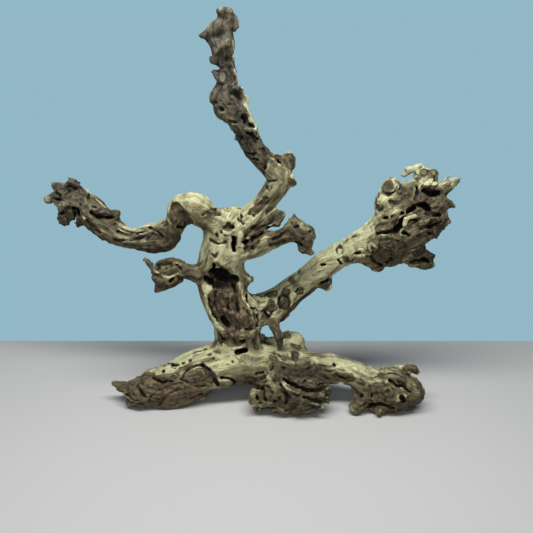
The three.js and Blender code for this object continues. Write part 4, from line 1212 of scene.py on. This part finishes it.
def raise_knots(grid, knots):
    """A knot is a low ring round a dimple, in a moat: three bell curves of the distance from its middle."""
    for knot in knots:
        spot, _, radius, proud = knot
        window, coords = grid.window(spot - 2 * radius, spot + 2 * radius)
        part = grid.field[window]
        cells = np.nonzero(np.abs(part) < SKIN)
        rho, height = knot_place(cell_points(coords, cells), knot)
        shape = bell(rho, *KNOT_RING) - 0.8 * bell(rho, *KNOT_DIMPLE) - bell(rho, *KNOT_MOAT)
        part[cells] -= proud * shape * bell(height, 0, KNOT_THICKNESS * radius)


def rough_measures(points):
    """How calm, gnarled and rough the wood is at points, how they are warped, and how the grain wanders."""
    calm = 1 - weigh(points, SMOOTH)
    gnarl = weigh(points, GNARLED) * calm
    rough = np.maximum(gnarl, 0.5 * weigh(points, BROWN) * calm)
    warp = np.stack([noise(points, *layer) for layer in WARPS], axis=1)
    wander = warp * (2.5 + 9 * gnarl)[:, None]
    return calm, gnarl, rough, warp, wander.astype(np.float32)


def crest(values):
    """Sharp crests where noise changes sign, with scooped troughs between: (1 - 2.5 |noise|) ** 1.5, or 0."""
    return np.maximum(1 - 2.5 * np.abs(values), 0) ** 1.5


def roughen(grid):
    """Raises and lowers the skin by layers of noise, each stronger where the wood is calm, gnarled or rough.

    Broad swells; gnarled lobes and crests; folds, strands and fibres along the grain; pits; and small bumps.
    Calm is 1 where nothing smooths the wood, so the layers fade where the weather has smoothed it.
    """
    band = np.nonzero(np.abs(grid.field) < SKIN)
    points = cell_points(grid.axes, band)
    calm, gnarl, rough, warp, wander = rough_measures(points)
    relief = SWELL_HEIGHT * noise(points, *SWELLS) * (0.4 + 0.6 * calm)
    lobes = np.abs(noise(points + 7 * warp, *LOBES))
    relief += gnarl * (lobes * LOBE_HEIGHT - LOBE_SINK)
    crests = crest(noise(points + 9 * warp, *CRESTS))
    relief += gnarl * (crests * CREST_HEIGHT - CREST_SINK)
    grain = Grain(points, wander)
    folds = np.abs(grain.blend(lambda place: stretched(place, *FOLDS)))
    relief += (0.2 + 0.8 * calm) * (folds * FOLD_HEIGHT - FOLD_SINK)
    strands = crest(grain.blend(lambda place: stretched(place, *STRANDS)))
    relief += (0.15 + 0.3 * calm + 0.25 * rough) * (strands * STRAND_HEIGHT - STRAND_SINK)
    fibres = grain.blend(lambda place: stretched(place, *FIBRES))
    relief += (0.1 + 0.2 * calm + 0.2 * rough) * FIBRE_HEIGHT * fibres
    relief -= (0.1 + 0.6 * rough) * PIT_DEPTH * smoothstep(*PITTED, noise(points + warp, *PITS))
    relief += BUMP_HEIGHT * noise(points + 2 * warp, *BUMPS) * (0.3 + 0.6 * rough)
    grid.field[band] -= relief - SLIMMING


def shape_wood(grid):
    """Lumps and broad hollows, then relief, then knots, narrow hollows, pits and twigs. Returns the knots."""
    for stations in lumps_on(grid):
        join(grid, stations, LUMP_BLEND)
    for part in WOOD.values():
        for stations in part.get("hollows", []):
            carve(grid, stations, BROAD_RIM, BROAD_RAGS)
    for stations in hollows_in(grid, broad=True):
        carve(grid, stations, SHARP_RIM, SHARP_RAGS)
    roughen(grid)
    knots = knots_on(grid) + hidden_knots(grid)
    raise_knots(grid, knots)
    for stations in hollows_in(grid, broad=False):
        carve(grid, stations, SHARP_RIM, SHARP_RAGS)
    for stations in hidden_pits(grid):
        carve(grid, stations, SHARP_RIM, SHARP_RAGS)
    for depth, run in TWIGS.values():
        join(grid, twig_stations(depth, run), TWIG_BLEND)
    return knots


def flatten_feet(grid):
    """Cuts the wood off flat at z = 0, where it stands: the greater of the field and -z."""
    np.maximum(grid.field, -grid.axes[2].reshape(1, 1, -1), out=grid.field)


def skin(grid):
    """The zero level of the field as vertices and quads.

    Each edge of the grid on which the field changes sign is crossed by a quad between the four cells round
    it. Each such cell has one vertex, the mean of the places where the field is zero on its edges.
    """
    field = grid.field
    inside = field < 0
    shape = np.array(field.shape) - 1
    ids, spots, corners = [], [], []
    for axis in range(3):
        low = tuple(slice(None, -1) if a == axis else slice(None) for a in range(3))
        high = tuple(slice(1, None) if a == axis else slice(None) for a in range(3))
        edges = np.nonzero(inside[low] != inside[high])
        f0, f1 = field[low][edges], field[high][edges]
        spot = np.stack([e.astype(np.float32) for e in edges], axis=1)
        spot[:, axis] += f0 / (f0 - f1)
        first, second = [a for a in range(3) if a != axis]
        round_edge = []
        for du, dv in ((-1, -1), (0, -1), (0, 0), (-1, 0)):
            cell = list(edges)
            cell[first] = cell[first] + du
            cell[second] = cell[second] + dv
            round_edge.append((cell[0] * shape[1] + cell[1]) * shape[2] + cell[2])
            ids.append(round_edge[-1])
            spots.append(spot)
        round_edge = np.stack(round_edge, axis=1)
        outward = inside[low][edges] == (axis != 1)
        round_edge[~outward] = round_edge[~outward][:, ::-1]
        corners.append(round_edge)
    numbers, back = np.unique(np.concatenate(ids), return_inverse=True)
    spots = np.concatenate(spots)
    count = np.bincount(back)
    vertices = np.stack([np.bincount(back, weights=spots[:, a]) / count for a in range(3)], axis=1)
    quads = np.searchsorted(numbers, np.concatenate(corners))
    return vertices * grid.cell + grid.low, quads


def vertex_normals(vertices, quads):
    """The mean of the normals of the faces round each vertex, from the cross products of their diagonals."""
    a, b, c, d = (vertices[quads[:, k]] for k in range(4))
    face = np.repeat(np.cross(c - a, d - b), 4, axis=0)
    return unit(np.stack([
        np.bincount(quads.ravel(), weights=face[:, axis], minlength=len(vertices)) for axis in range(3)
    ], axis=1))


def blurred(values, radius):
    """The mean of the values over a cube of cells that reaches radius each way, from running sums."""
    for axis in range(3):
        total = np.moveaxis(np.cumsum(values, axis=axis, dtype=np.float32), axis, 0)
        mean = np.zeros_like(total)
        mean[radius + 1:-radius] = (total[2 * radius + 1:] - total[:-2 * radius - 1]) / (2 * radius + 1)
        values = np.moveaxis(mean, 0, axis)
    return values


def face_edges(quads):
    """The four edges of each quad, one after another, as pairs of vertices in the order of its corners."""
    return np.stack([quads, np.roll(quads, -1, axis=1)], axis=2).reshape(-1, 2)


def touching(quads, count):
    """Pairs of faces that share an edge."""
    edges = face_edges(quads)
    keys = edges.min(1) * count + edges.max(1)
    order = np.argsort(keys, kind="stable")
    same = keys[order][1:] == keys[order][:-1]
    return np.stack([order[1:][same] // 4, order[:-1][same] // 4], axis=1)


def clusters(pairs, count):
    """For each of count things, the least number among all that hang together with it by the pairs."""
    root = np.arange(count)
    while True:
        ends = root[pairs]
        apart = ends[:, 0] != ends[:, 1]
        if not apart.any():
            return root
        np.minimum.at(root, ends[apart].max(1), ends[apart].min(1))
        while (root != root[root]).any():
            root = root[root]


def share_out(quads, limb_of_face, count):
    """Drops what hangs loose of the wood, and gives each limb's stray patches to the limbs round them."""
    pairs = touching(quads, count)
    whole = clusters(pairs, len(quads))
    main = np.argmax(np.bincount(whole, minlength=len(quads)))
    alike = limb_of_face[pairs[:, 0]] == limb_of_face[pairs[:, 1]]
    patch = clusters(pairs[alike], len(quads))
    sizes = np.bincount(patch, minlength=len(quads))
    stray = np.ones(len(quads), bool)
    for number in range(len(LIMBS)):
        own = np.nonzero(limb_of_face == number)[0]
        stray[own] = patch[own] != patch[own][np.argmax(sizes[patch[own]])]
    stray &= whole == main
    both_ways = np.concatenate([pairs, pairs[:, ::-1]])
    while stray.any():
        edge = both_ways[stray[both_ways[:, 0]] & ~stray[both_ways[:, 1]]]
        limb_of_face[edge[:, 0]] = limb_of_face[edge[:, 1]]
        stray[edge[:, 0]] = False
    return quads[whole == main], limb_of_face[whole == main]


def within_run(points, stations):
    """Which points are near a run of stations, and how far inside it: 1 on its line, 0 at its edge."""
    rows = np.array(stations, np.float32)
    if len(rows) == 1:
        rows = np.repeat(rows, 2, axis=0)
    reach = STAIN_ROOM * rows[:, 3:]
    near = ((points > (rows[:, :3] - reach).min(0)) & (points < (rows[:, :3] + reach).max(0))).all(1)
    near = np.nonzero(near)[0]
    own = points[near]
    best = np.full(len(near), -1, np.float32)
    for a, b in zip(rows, rows[1:]):
        along = b[:3] - a[:3]
        t = np.clip((own - a[:3]) @ along / max(float(along @ along), 1e-6), 0, 1)
        away = np.sqrt(((own - a[:3] - t[:, None] * along) ** 2).sum(1))
        best = np.maximum(best, 1 - away / (a[3] + t * (b[3] - a[3])))
    return near, best


def mark_knots(points, knots, rings):
    """Swells the growth rings round each knot, and returns how dark its rim and its eye are.

    The rings swell by a bell curve of the distance from the knot's middle. The rim is a bell curve with gaps
    where noise is low, and the eye a narrow bell curve at the middle. Both are painted shade: the rim for the
    crack round the knot, the eye for its dimple.
    """
    marks = np.zeros(len(points), np.float32)
    for knot in knots:
        spot, _, radius, _ = knot
        close = np.nonzero(((points - spot) ** 2).sum(1) < (3 * radius) ** 2)[0]
        rho, height = knot_place(points[close], knot)
        rings[close] += 1.6 * radius * bell(rho, *KNOT_SWELL)
        rim = bell(rho, *KNOT_DARK_RIM) * smoothstep(*KNOT_GAPS, noise(points[close], radius, KNOT_GAP_SEED))
        mark = np.maximum(rim, 0.7 * bell(rho, *KNOT_EYE)) * (np.abs(height) < radius)
        marks[close] = np.maximum(marks[close], mark)
    return marks


def stain(points, stains, brown):
    """Adds each stain to the brown: a pale one in full, a brown one as far as there is room for it."""
    for amount, stations in stains:
        close, inside = within_run(points, stations)
        share = smoothstep(*STAIN_RIM, inside + UNEVEN * noise(points[close], *STAIN_EDGE))
        room = 1 if amount < 0 else np.clip(MOST_BROWN - brown[close], 0, 1)
        brown[close] += amount * share * room


def ring_place(place):
    """Where growth rings lie in a limb, in millimetres: the way across it, bent by noise along the grain."""
    return (place[:, 0] % LIMB_SHIFT + 6 * stretched(place, *RING_BENDS)
            + 2 * stretched(place, *RING_WAVES))


def weather(grid, smooth, vertices, normals, knots, stains):
    """What the wood's colour goes by at each vertex, from 0 to 1, and the growth rings in millimetres.

    How much wood is near a vertex and in a wider cube tells creases and hollows from edges: half of the cube
    on a flat surface, more in a hollow, less on an edge. Brown is the sum of the brown spots, blotches,
    streaks, hollows and stains; its browning of hollows and creases is dirt and painted shade. The hollow,
    crease and knot marks are painted shade. Bleaching goes by how far the surface looks up, with painted top
    light, and edges are paled by wear with painted highlight.
    """
    solid = (grid.field < 0).astype(np.float32)
    near = grid.sample(blurred(solid, round(CREASE_REACH / grid.cell)), vertices)
    wide = grid.sample(blurred(solid, round(HOLLOW_REACH / grid.cell)), vertices)
    sunk = -grid.sample(smooth, vertices)
    points = vertices.astype(np.float32)
    calm, gnarl, _, warp, wander = rough_measures(points)
    grain = Grain(points, wander)
    rings = grain.blend(ring_place)
    rings += 9 * gnarl * noise(points + 5 * warp, *RING_WARP)
    streaks = grain.blend(lambda place: stretched(place, *STREAKS) + 0.7 * stretched(place, *THIN_STREAKS))
    fibre = grain.blend(lambda place: stretched(place, *FIBRE_MARKS)) + 0.7 * noise(points, *FIBRE_SPECKS)
    knot_shade_marks = mark_knots(points, knots, rings)
    blotch = noise(points, *BLOTCHES) + 0.6 * noise(points + 4 * warp, *SMALL_BLOTCHES)
    brown = PLAIN_BROWN + SPOT_BROWN * weigh(points, BROWN) * (1 - weigh(points, PALE_SPOTS))
    brown += BLOTCH_BROWN * blotch + (0.12 + 0.18 * calm) * streaks
    # Hollows and creases are browned by dirt and by painted shade
    brown += HOLLOW_BROWN * smoothstep(*HOLLOW_BROWNS, wide) + CREASE_BROWN * smoothstep(*CREASE_BROWNS, near)
    stain(points, stains, brown)
    # Painted shade: how enclosed a vertex is
    enclosed = smoothstep(*ENCLOSED, 0.45 * near + 0.55 * wide)
    return {
        "rings": rings,
        # Painted shade for hollows, sunk cavities and creases, near black in the material
        "hollow": np.maximum(enclosed, 0.95 * smoothstep(*SUNKEN, sunk)),
        "crease": smoothstep(*CREASED, near),
        # Edges are paled by wear and by painted highlight
        "edge": smoothstep(*WORN_AND_LIT, near),
        "brown": np.clip(brown, 0, 1),
        "rot": np.clip(weigh(points, ROTTEN) * 1.4, 0, 1) * smoothstep(*ROT_NEEDS_BROWN, brown),
        # Painted bluish ambient light
        "painted_blue_light": weigh(points, PAINTED_BLUE_LIGHT_SPOTS),
        "fibre": 0.5 + 0.5 * fibre,
        # Bleaching and painted top light, by how far the surface looks up
        "bleach_and_top_light": smoothstep(*LOOKING_UP, normals[:, 2] + 0.35 * blotch),
        # Painted shade of each knot's rim crack and dimple
        "knot": knot_shade_marks,
    }


def loops_of(rim):
    """The rim's edges, followed round into closed loops of vertices."""
    follow = dict(rim.tolist())
    loops = []
    while follow:
        start, spot = next(iter(follow.items()))
        loop = [start]
        del follow[start]
        while spot in follow:
            loop.append(spot)
            spot = follow.pop(spot)
        loops.append(loop)
    return loops


def limb_piece(name, vertices, quads, normals, marks, material):
    """One limb's share of the skin, closed where it was parted by a fan of triangles to each rim's middle."""
    used, local = np.unique(quads, return_inverse=True)
    local = local.reshape(-1, 4)
    edges = face_edges(local).astype(np.int64)
    there, back = edges[:, 0] * len(used) + edges[:, 1], edges[:, 1] * len(used) + edges[:, 0]
    loops = loops_of(edges[~np.isin(there, back)])
    spots = (vertices[used] - FOOTPRINT_CENTRE) * MM
    middles = [spots[loop].mean(0) for loop in loops]
    inner = [normals[used][loop].mean(0) for loop in loops]
    triangles = np.concatenate([
        np.column_stack([np.roll(loop, -1), loop, np.full(len(loop), len(spots) + k)])
        for k, loop in enumerate(loops)
    ])
    spots = np.concatenate([spots, middles])
    mesh = bpy.data.meshes.new(name)
    mesh.vertices.add(len(spots))
    mesh.vertices.foreach_set("co", spots.astype(np.float32).ravel())
    corners = np.concatenate([local.ravel(), triangles.ravel()]).astype(np.int32)
    starts = np.concatenate([np.arange(len(local)) * 4, len(local) * 4 + np.arange(len(triangles)) * 3])
    mesh.loops.add(len(corners))
    mesh.loops.foreach_set("vertex_index", corners)
    mesh.polygons.add(len(starts))
    mesh.polygons.foreach_set("loop_start", starts.astype(np.int32))
    mesh.polygons.foreach_set("use_smooth", np.ones(len(starts), bool))
    mesh.update(calc_edges=True)
    mesh.validate()
    for mark, values in marks.items():
        layer = mesh.attributes.new(mark, "FLOAT", "POINT")
        own = np.concatenate([values[used], np.full(len(loops), values[used].mean())])
        layer.data.foreach_set("value", own.astype(np.float32))
    mesh.normals_split_custom_set_from_vertices(np.concatenate([normals[used], inner]))
    mesh.materials.append(material)
    piece = bpy.data.objects.new(name + "_wood", mesh)
    bpy.context.collection.objects.link(piece)
    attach(piece, "root")
    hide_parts(name)


def build_wood():
    """Grows, carves and roughens the wood, then parts its skin into one piece per limb."""
    boxes = np.array([[list(corner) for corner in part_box(name)] for name in LIMBS]) / MM
    low = boxes[:, 0].min(0) + FOOTPRINT_CENTRE - MARGIN
    high = boxes[:, 1].max(0) + FOOTPRINT_CENTRE + MARGIN
    grid = Grid(low, high, CELL)
    label = grow_wood(grid)
    smooth = grid.field.copy()
    knots = shape_wood(grid)
    stains = stains_on(grid)
    flatten_feet(grid)
    vertices, quads = skin(grid)
    middles = vertices[quads].mean(1)
    place = np.clip(np.rint((middles - grid.low) / grid.cell).astype(int), 0, np.array(grid.shape) - 1)
    quads, limb_of_face = share_out(quads, label[place[:, 0], place[:, 1], place[:, 2]], len(vertices))
    normals = vertex_normals(vertices, quads)
    marks = weather(grid, smooth, vertices, normals, knots, stains)
    material = wood_material()
    for number, name in enumerate(LIMBS):
        limb_piece(name, vertices, quads[limb_of_face == number], normals, marks, material)


class Nodes:
    """A node tree that is written like sums: each call adds a node and returns its output."""

    def __init__(self, tree):
        """Writes into this tree."""
        self.tree = tree

    def add(self, kind, inputs=(), output=0, **settings):
        """A shader node of this kind. An input is another node's output or a value."""
        node = self.tree.nodes.new("ShaderNode" + kind)
        for key, value in settings.items():
            setattr(node, key, value)
        for key, value in dict(inputs).items():
            if isinstance(value, bpy.types.NodeSocket):
                self.tree.links.new(value, node.inputs[key])
            else:
                node.inputs[key].default_value = value
        return node.outputs[output]

    def mark(self, name):
        """One of the piece's own attributes."""
        return self.add("Attribute", output="Fac", attribute_name=name)

    def noise(self, place, scale, detail, roughness):
        """Noise from 0 to 1 at a place, with this many bumps to a metre."""
        inputs = {"Vector": place, "Scale": scale, "Detail": detail, "Roughness": roughness}
        return self.add("TexNoise", inputs)

    def math(self, operation, a, b=0.0, clamp=False):
        """a and b, put together by the operation and held to 0 and 1 if asked."""
        return self.add("Math", {0: a, 1: b}, operation=operation, use_clamp=clamp)

    def plus(self, a, b, clamp=False):
        """The sum of a and b."""
        return self.math("ADD", a, b, clamp)

    def times(self, a, b):
        """The product of a and b."""
        return self.math("MULTIPLY", a, b)

    def swing(self, value, amount):
        """(value - 0.5) times the amount."""
        return self.times(self.math("SUBTRACT", value, 0.5), amount)

    def between(self, value, low, high, to_low=0.0, to_high=1.0):
        """The value carried from one span to another, eased and held at its ends."""
        inputs = {"Value": value, "From Min": low, "From Max": high, "To Min": to_low, "To Max": to_high}
        return self.add("MapRange", inputs, interpolation_type="SMOOTHSTEP")

    def mix(self, share, a, b):
        """The colour a where the share is 0, b where it is 1, and between them in proportion."""
        return self.add("Mix", {0: share, 6: a, 7: b}, output=2, data_type="RGBA")

    def tint(self, colour, by):
        """A colour multiplied by another colour or by a number."""
        return self.add("Mix", {0: 1.0, 6: colour, 7: by}, output=2, data_type="RGBA", blend_type="MULTIPLY")


# Colours of the wood, and of the painted shade and painted bluish light on it
PALE = (0.465, 0.44, 0.25, 1)
OLIVE = (0.20, 0.17, 0.088, 1)
BROWN_WOOD = (0.086, 0.065, 0.035, 1)
# Near black, painted into hollows, creases and knot rims as shade, with some dirt in the hollows
SHADE_AND_DIRT_BLACK = (0.007, 0.007, 0.008, 1)
ROT = (0.15, 0.103, 0.060, 1)
# A bluish tint multiplied in as painted ambient light from the blue surroundings
PAINTED_BLUE_LIGHT_TINT = (0.9, 0.99, 1.3, 1)

# The wood's fine markings
RING_SPACING = 1.8  # millimetres
RING_WANDER = 1.6  # how far the mottling moves a ring, in millimetres
OVERTONE, OVERTONE_SHARE = 2.37, 0.5  # a second wave breaks the rings up: its rate and its strength
FIBRES_PER_M, SPECKS_PER_M, MOTTLES_PER_M = 420, 170, 60
BUMP_SIZE = 0.0006  # metres
SPECK_TONE, FIBRE_TONE, RING_TONE = 0.6, 0.45, 0.24  # how far each moves the tone towards brown
# Paling by bleaching with painted top light, and by edge wear with painted highlight
BLEACH_AND_TOP_LIGHT_TONE, EDGE_TONE = 0.32, 0.2  # and away from it
# How strongly painted shade darkens creases and knots, and how near black it goes at most
CREASE_SHADE, KNOT_SHADE, DARKEST = 0.7, 0.75, 0.95
GLOSS = 0.25

# The studio, in metres
SKY = (0.29, 0.48, 0.57, 1)
AMBIENT = (0.12, 0.16, 0.19, 1)
FLOOR_GREY = (0.5, 0.47, 0.46, 1)
FLOOR_SIDE, FLOOR_FRONT, FLOOR_BACK = 0.9, -0.6, 0.095


def wood_material():
    """Pale and olive sapwood that turns brown in the gnarled parts, with painted shade near black in the
    hollows.

    Its tone is the brown, unsettled by specks and fibres, less bleaching and wear with painted top light and
    highlight, plus the ring lines. A line is where the sum of two sine waves of the ring's place is high. The
    tone runs from pale through olive to brown. Rot, painted bluish ambient light and light and dark grains
    come on top, and then the painted shade of hollows, creases and knots, with some dirt in the hollows.
    """
    material = bpy.data.materials.new("coral wood")
    material.use_nodes = True
    n = Nodes(material.node_tree)
    shader = material.node_tree.nodes["Principled BSDF"]
    place = n.add("TexCoord", output="Object")
    fibre = n.noise(place, FIBRES_PER_M, 3, 0.6)
    speck = n.noise(place, SPECKS_PER_M, 4, 0.65)
    mottle = n.noise(place, MOTTLES_PER_M, 3, 0.6)
    turn = n.times(n.plus(n.mark("rings"), n.swing(mottle, RING_WANDER)), 2 * math.pi / RING_SPACING)
    overtone = n.times(n.math("SINE", n.times(turn, OVERTONE)), OVERTONE_SHARE)
    line = n.between(n.plus(n.math("SINE", turn), overtone), -0.1, 1.3)

    brown = n.mark("brown")
    tone = n.plus(brown, n.swing(speck, SPECK_TONE))
    tone = n.plus(tone, n.swing(n.mark("fibre"), FIBRE_TONE))
    # Paled where the surface looks up and on edges: bleaching and wear, with painted top light and highlight
    worn_and_lit = n.plus(n.times(n.mark("bleach_and_top_light"), BLEACH_AND_TOP_LIGHT_TONE), n.times(n.mark("edge"), EDGE_TONE))
    worn_and_lit = n.times(worn_and_lit, n.math("SUBTRACT", 1.15, brown))
    tone = n.math("SUBTRACT", tone, worn_and_lit, clamp=True)
    tone = n.plus(tone, n.times(line, RING_TONE), clamp=True)
    colour = n.mix(n.between(tone, 0.0, 0.5), PALE, OLIVE)
    colour = n.mix(n.between(tone, 0.35, 0.95), colour, BROWN_WOOD)
    colour = n.mix(n.times(n.mark("rot"), n.between(mottle, 0.35, 0.65, 0.45, 0.8)), colour, ROT)
    # Painted bluish ambient light on the darker wood
    colour = n.mix(n.times(n.mark("painted_blue_light"), brown), colour, n.tint(colour, PAINTED_BLUE_LIGHT_TINT))

    grainy = n.plus(n.times(speck, 0.5), n.times(n.mark("fibre"), 0.5))
    contrast = n.plus(n.times(brown, 0.35), 0.12)
    grains = n.times(n.between(grainy, 0.36, 0.64, -1.0, 1.0), contrast)
    grains = n.math("SUBTRACT", grains, n.times(line, n.times(brown, 0.3)))
    colour = n.tint(colour, n.plus(grains, 1.0))
    # Painted shade: hollows, creases and knots darkened towards near black, standing in for shadow, with some
    # dirt in the hollows
    shade = n.math("MAXIMUM", n.mark("hollow"), n.times(n.mark("crease"), CREASE_SHADE))
    shade = n.math("MAXIMUM", shade, n.times(n.mark("knot"), KNOT_SHADE))
    colour = n.mix(n.times(shade, DARKEST), colour, SHADE_AND_DIRT_BLACK)
    n.tree.links.new(colour, shader.inputs["Base Color"])

    shader.inputs["Specular IOR Level"].default_value = GLOSS
    n.tree.links.new(n.between(fibre, 0.3, 0.7, 0.7, 0.92), shader.inputs["Roughness"])
    height = n.plus(n.times(line, -0.5), n.times(speck, 0.8))
    height = n.plus(height, n.times(fibre, 0.35))
    bump = n.add("Bump", {"Height": height, "Distance": BUMP_SIZE, "Strength": 0.9})
    n.tree.links.new(bump, shader.inputs["Normal"])
    return material


def plain_material(name, colour):
    """A dull material of one colour."""
    material = bpy.data.materials.new(name)
    material.use_nodes = True
    shader = material.node_tree.nodes["Principled BSDF"]
    shader.inputs["Base Color"].default_value = colour
    shader.inputs["Roughness"].default_value = 0.9
    return material


def soft_light(name, place, tilt, size, power, colour):
    """A rectangular lamp, tilted this many degrees about X from looking straight down."""
    data = bpy.data.lights.new(name, "AREA")
    data.shape = "RECTANGLE"
    data.size, data.size_y = size
    data.energy = power
    data.color = colour
    lamp = bpy.data.objects.new(name, data)
    lamp.location = place
    lamp.rotation_euler = (math.radians(tilt), 0, 0)
    bpy.context.collection.objects.link(lamp)


def build_studio():
    """A pale table before a pale blue backdrop, a long light overhead and a weak fill from the front."""
    world = bpy.data.worlds.new("studio")
    world.use_nodes = True
    bpy.context.scene.world = world
    n = Nodes(world.node_tree)
    sky = world.node_tree.nodes["Background"]
    seen_by_camera = n.add("LightPath")
    n.tree.links.new(n.mix(seen_by_camera, AMBIENT, SKY), sky.inputs["Color"])
    soft_light("overhead", place=(0.0, -0.22, 0.62), tilt=24, size=(0.7, 0.1), power=5.2,
               colour=(0.95, 1.0, 0.99))
    soft_light("front", place=(-0.1, -0.9, 0.60), tilt=60, size=(0.7, 0.5), power=1.7,
               colour=(1.0, 0.98, 0.94))
    mesh = bpy.data.meshes.new("floor")
    corners = [
        (-FLOOR_SIDE, FLOOR_FRONT, 0), (FLOOR_SIDE, FLOOR_FRONT, 0),
        (FLOOR_SIDE, FLOOR_BACK, 0), (-FLOOR_SIDE, FLOOR_BACK, 0),
    ]
    mesh.from_pydata(corners, [], [(0, 1, 2, 3)])
    mesh.materials.append(plain_material("floor", FLOOR_GREY))
    floor = bpy.data.objects.new("floor", mesh)
    bpy.context.collection.objects.link(floor)


def aim_camera():
    """The photograph's eye: its height, distance, tilt and field of view."""
    data = bpy.data.cameras.new("camera")
    data.sensor_width = SENSOR_MM
    data.lens = FOCAL_PX / FRAME_PX * SENSOR_MM
    camera = bpy.data.objects.new("camera", data)
    camera.location = (EYE - FOOTPRINT_CENTRE) * MM
    camera.rotation_euler = (math.pi / 2 - PITCH, 0, 0)
    bpy.context.collection.objects.link(camera)
    bpy.context.scene.camera = camera
    bpy.context.scene.view_settings.view_transform = "Standard"


aim_camera()
build_wood()
build_studio()
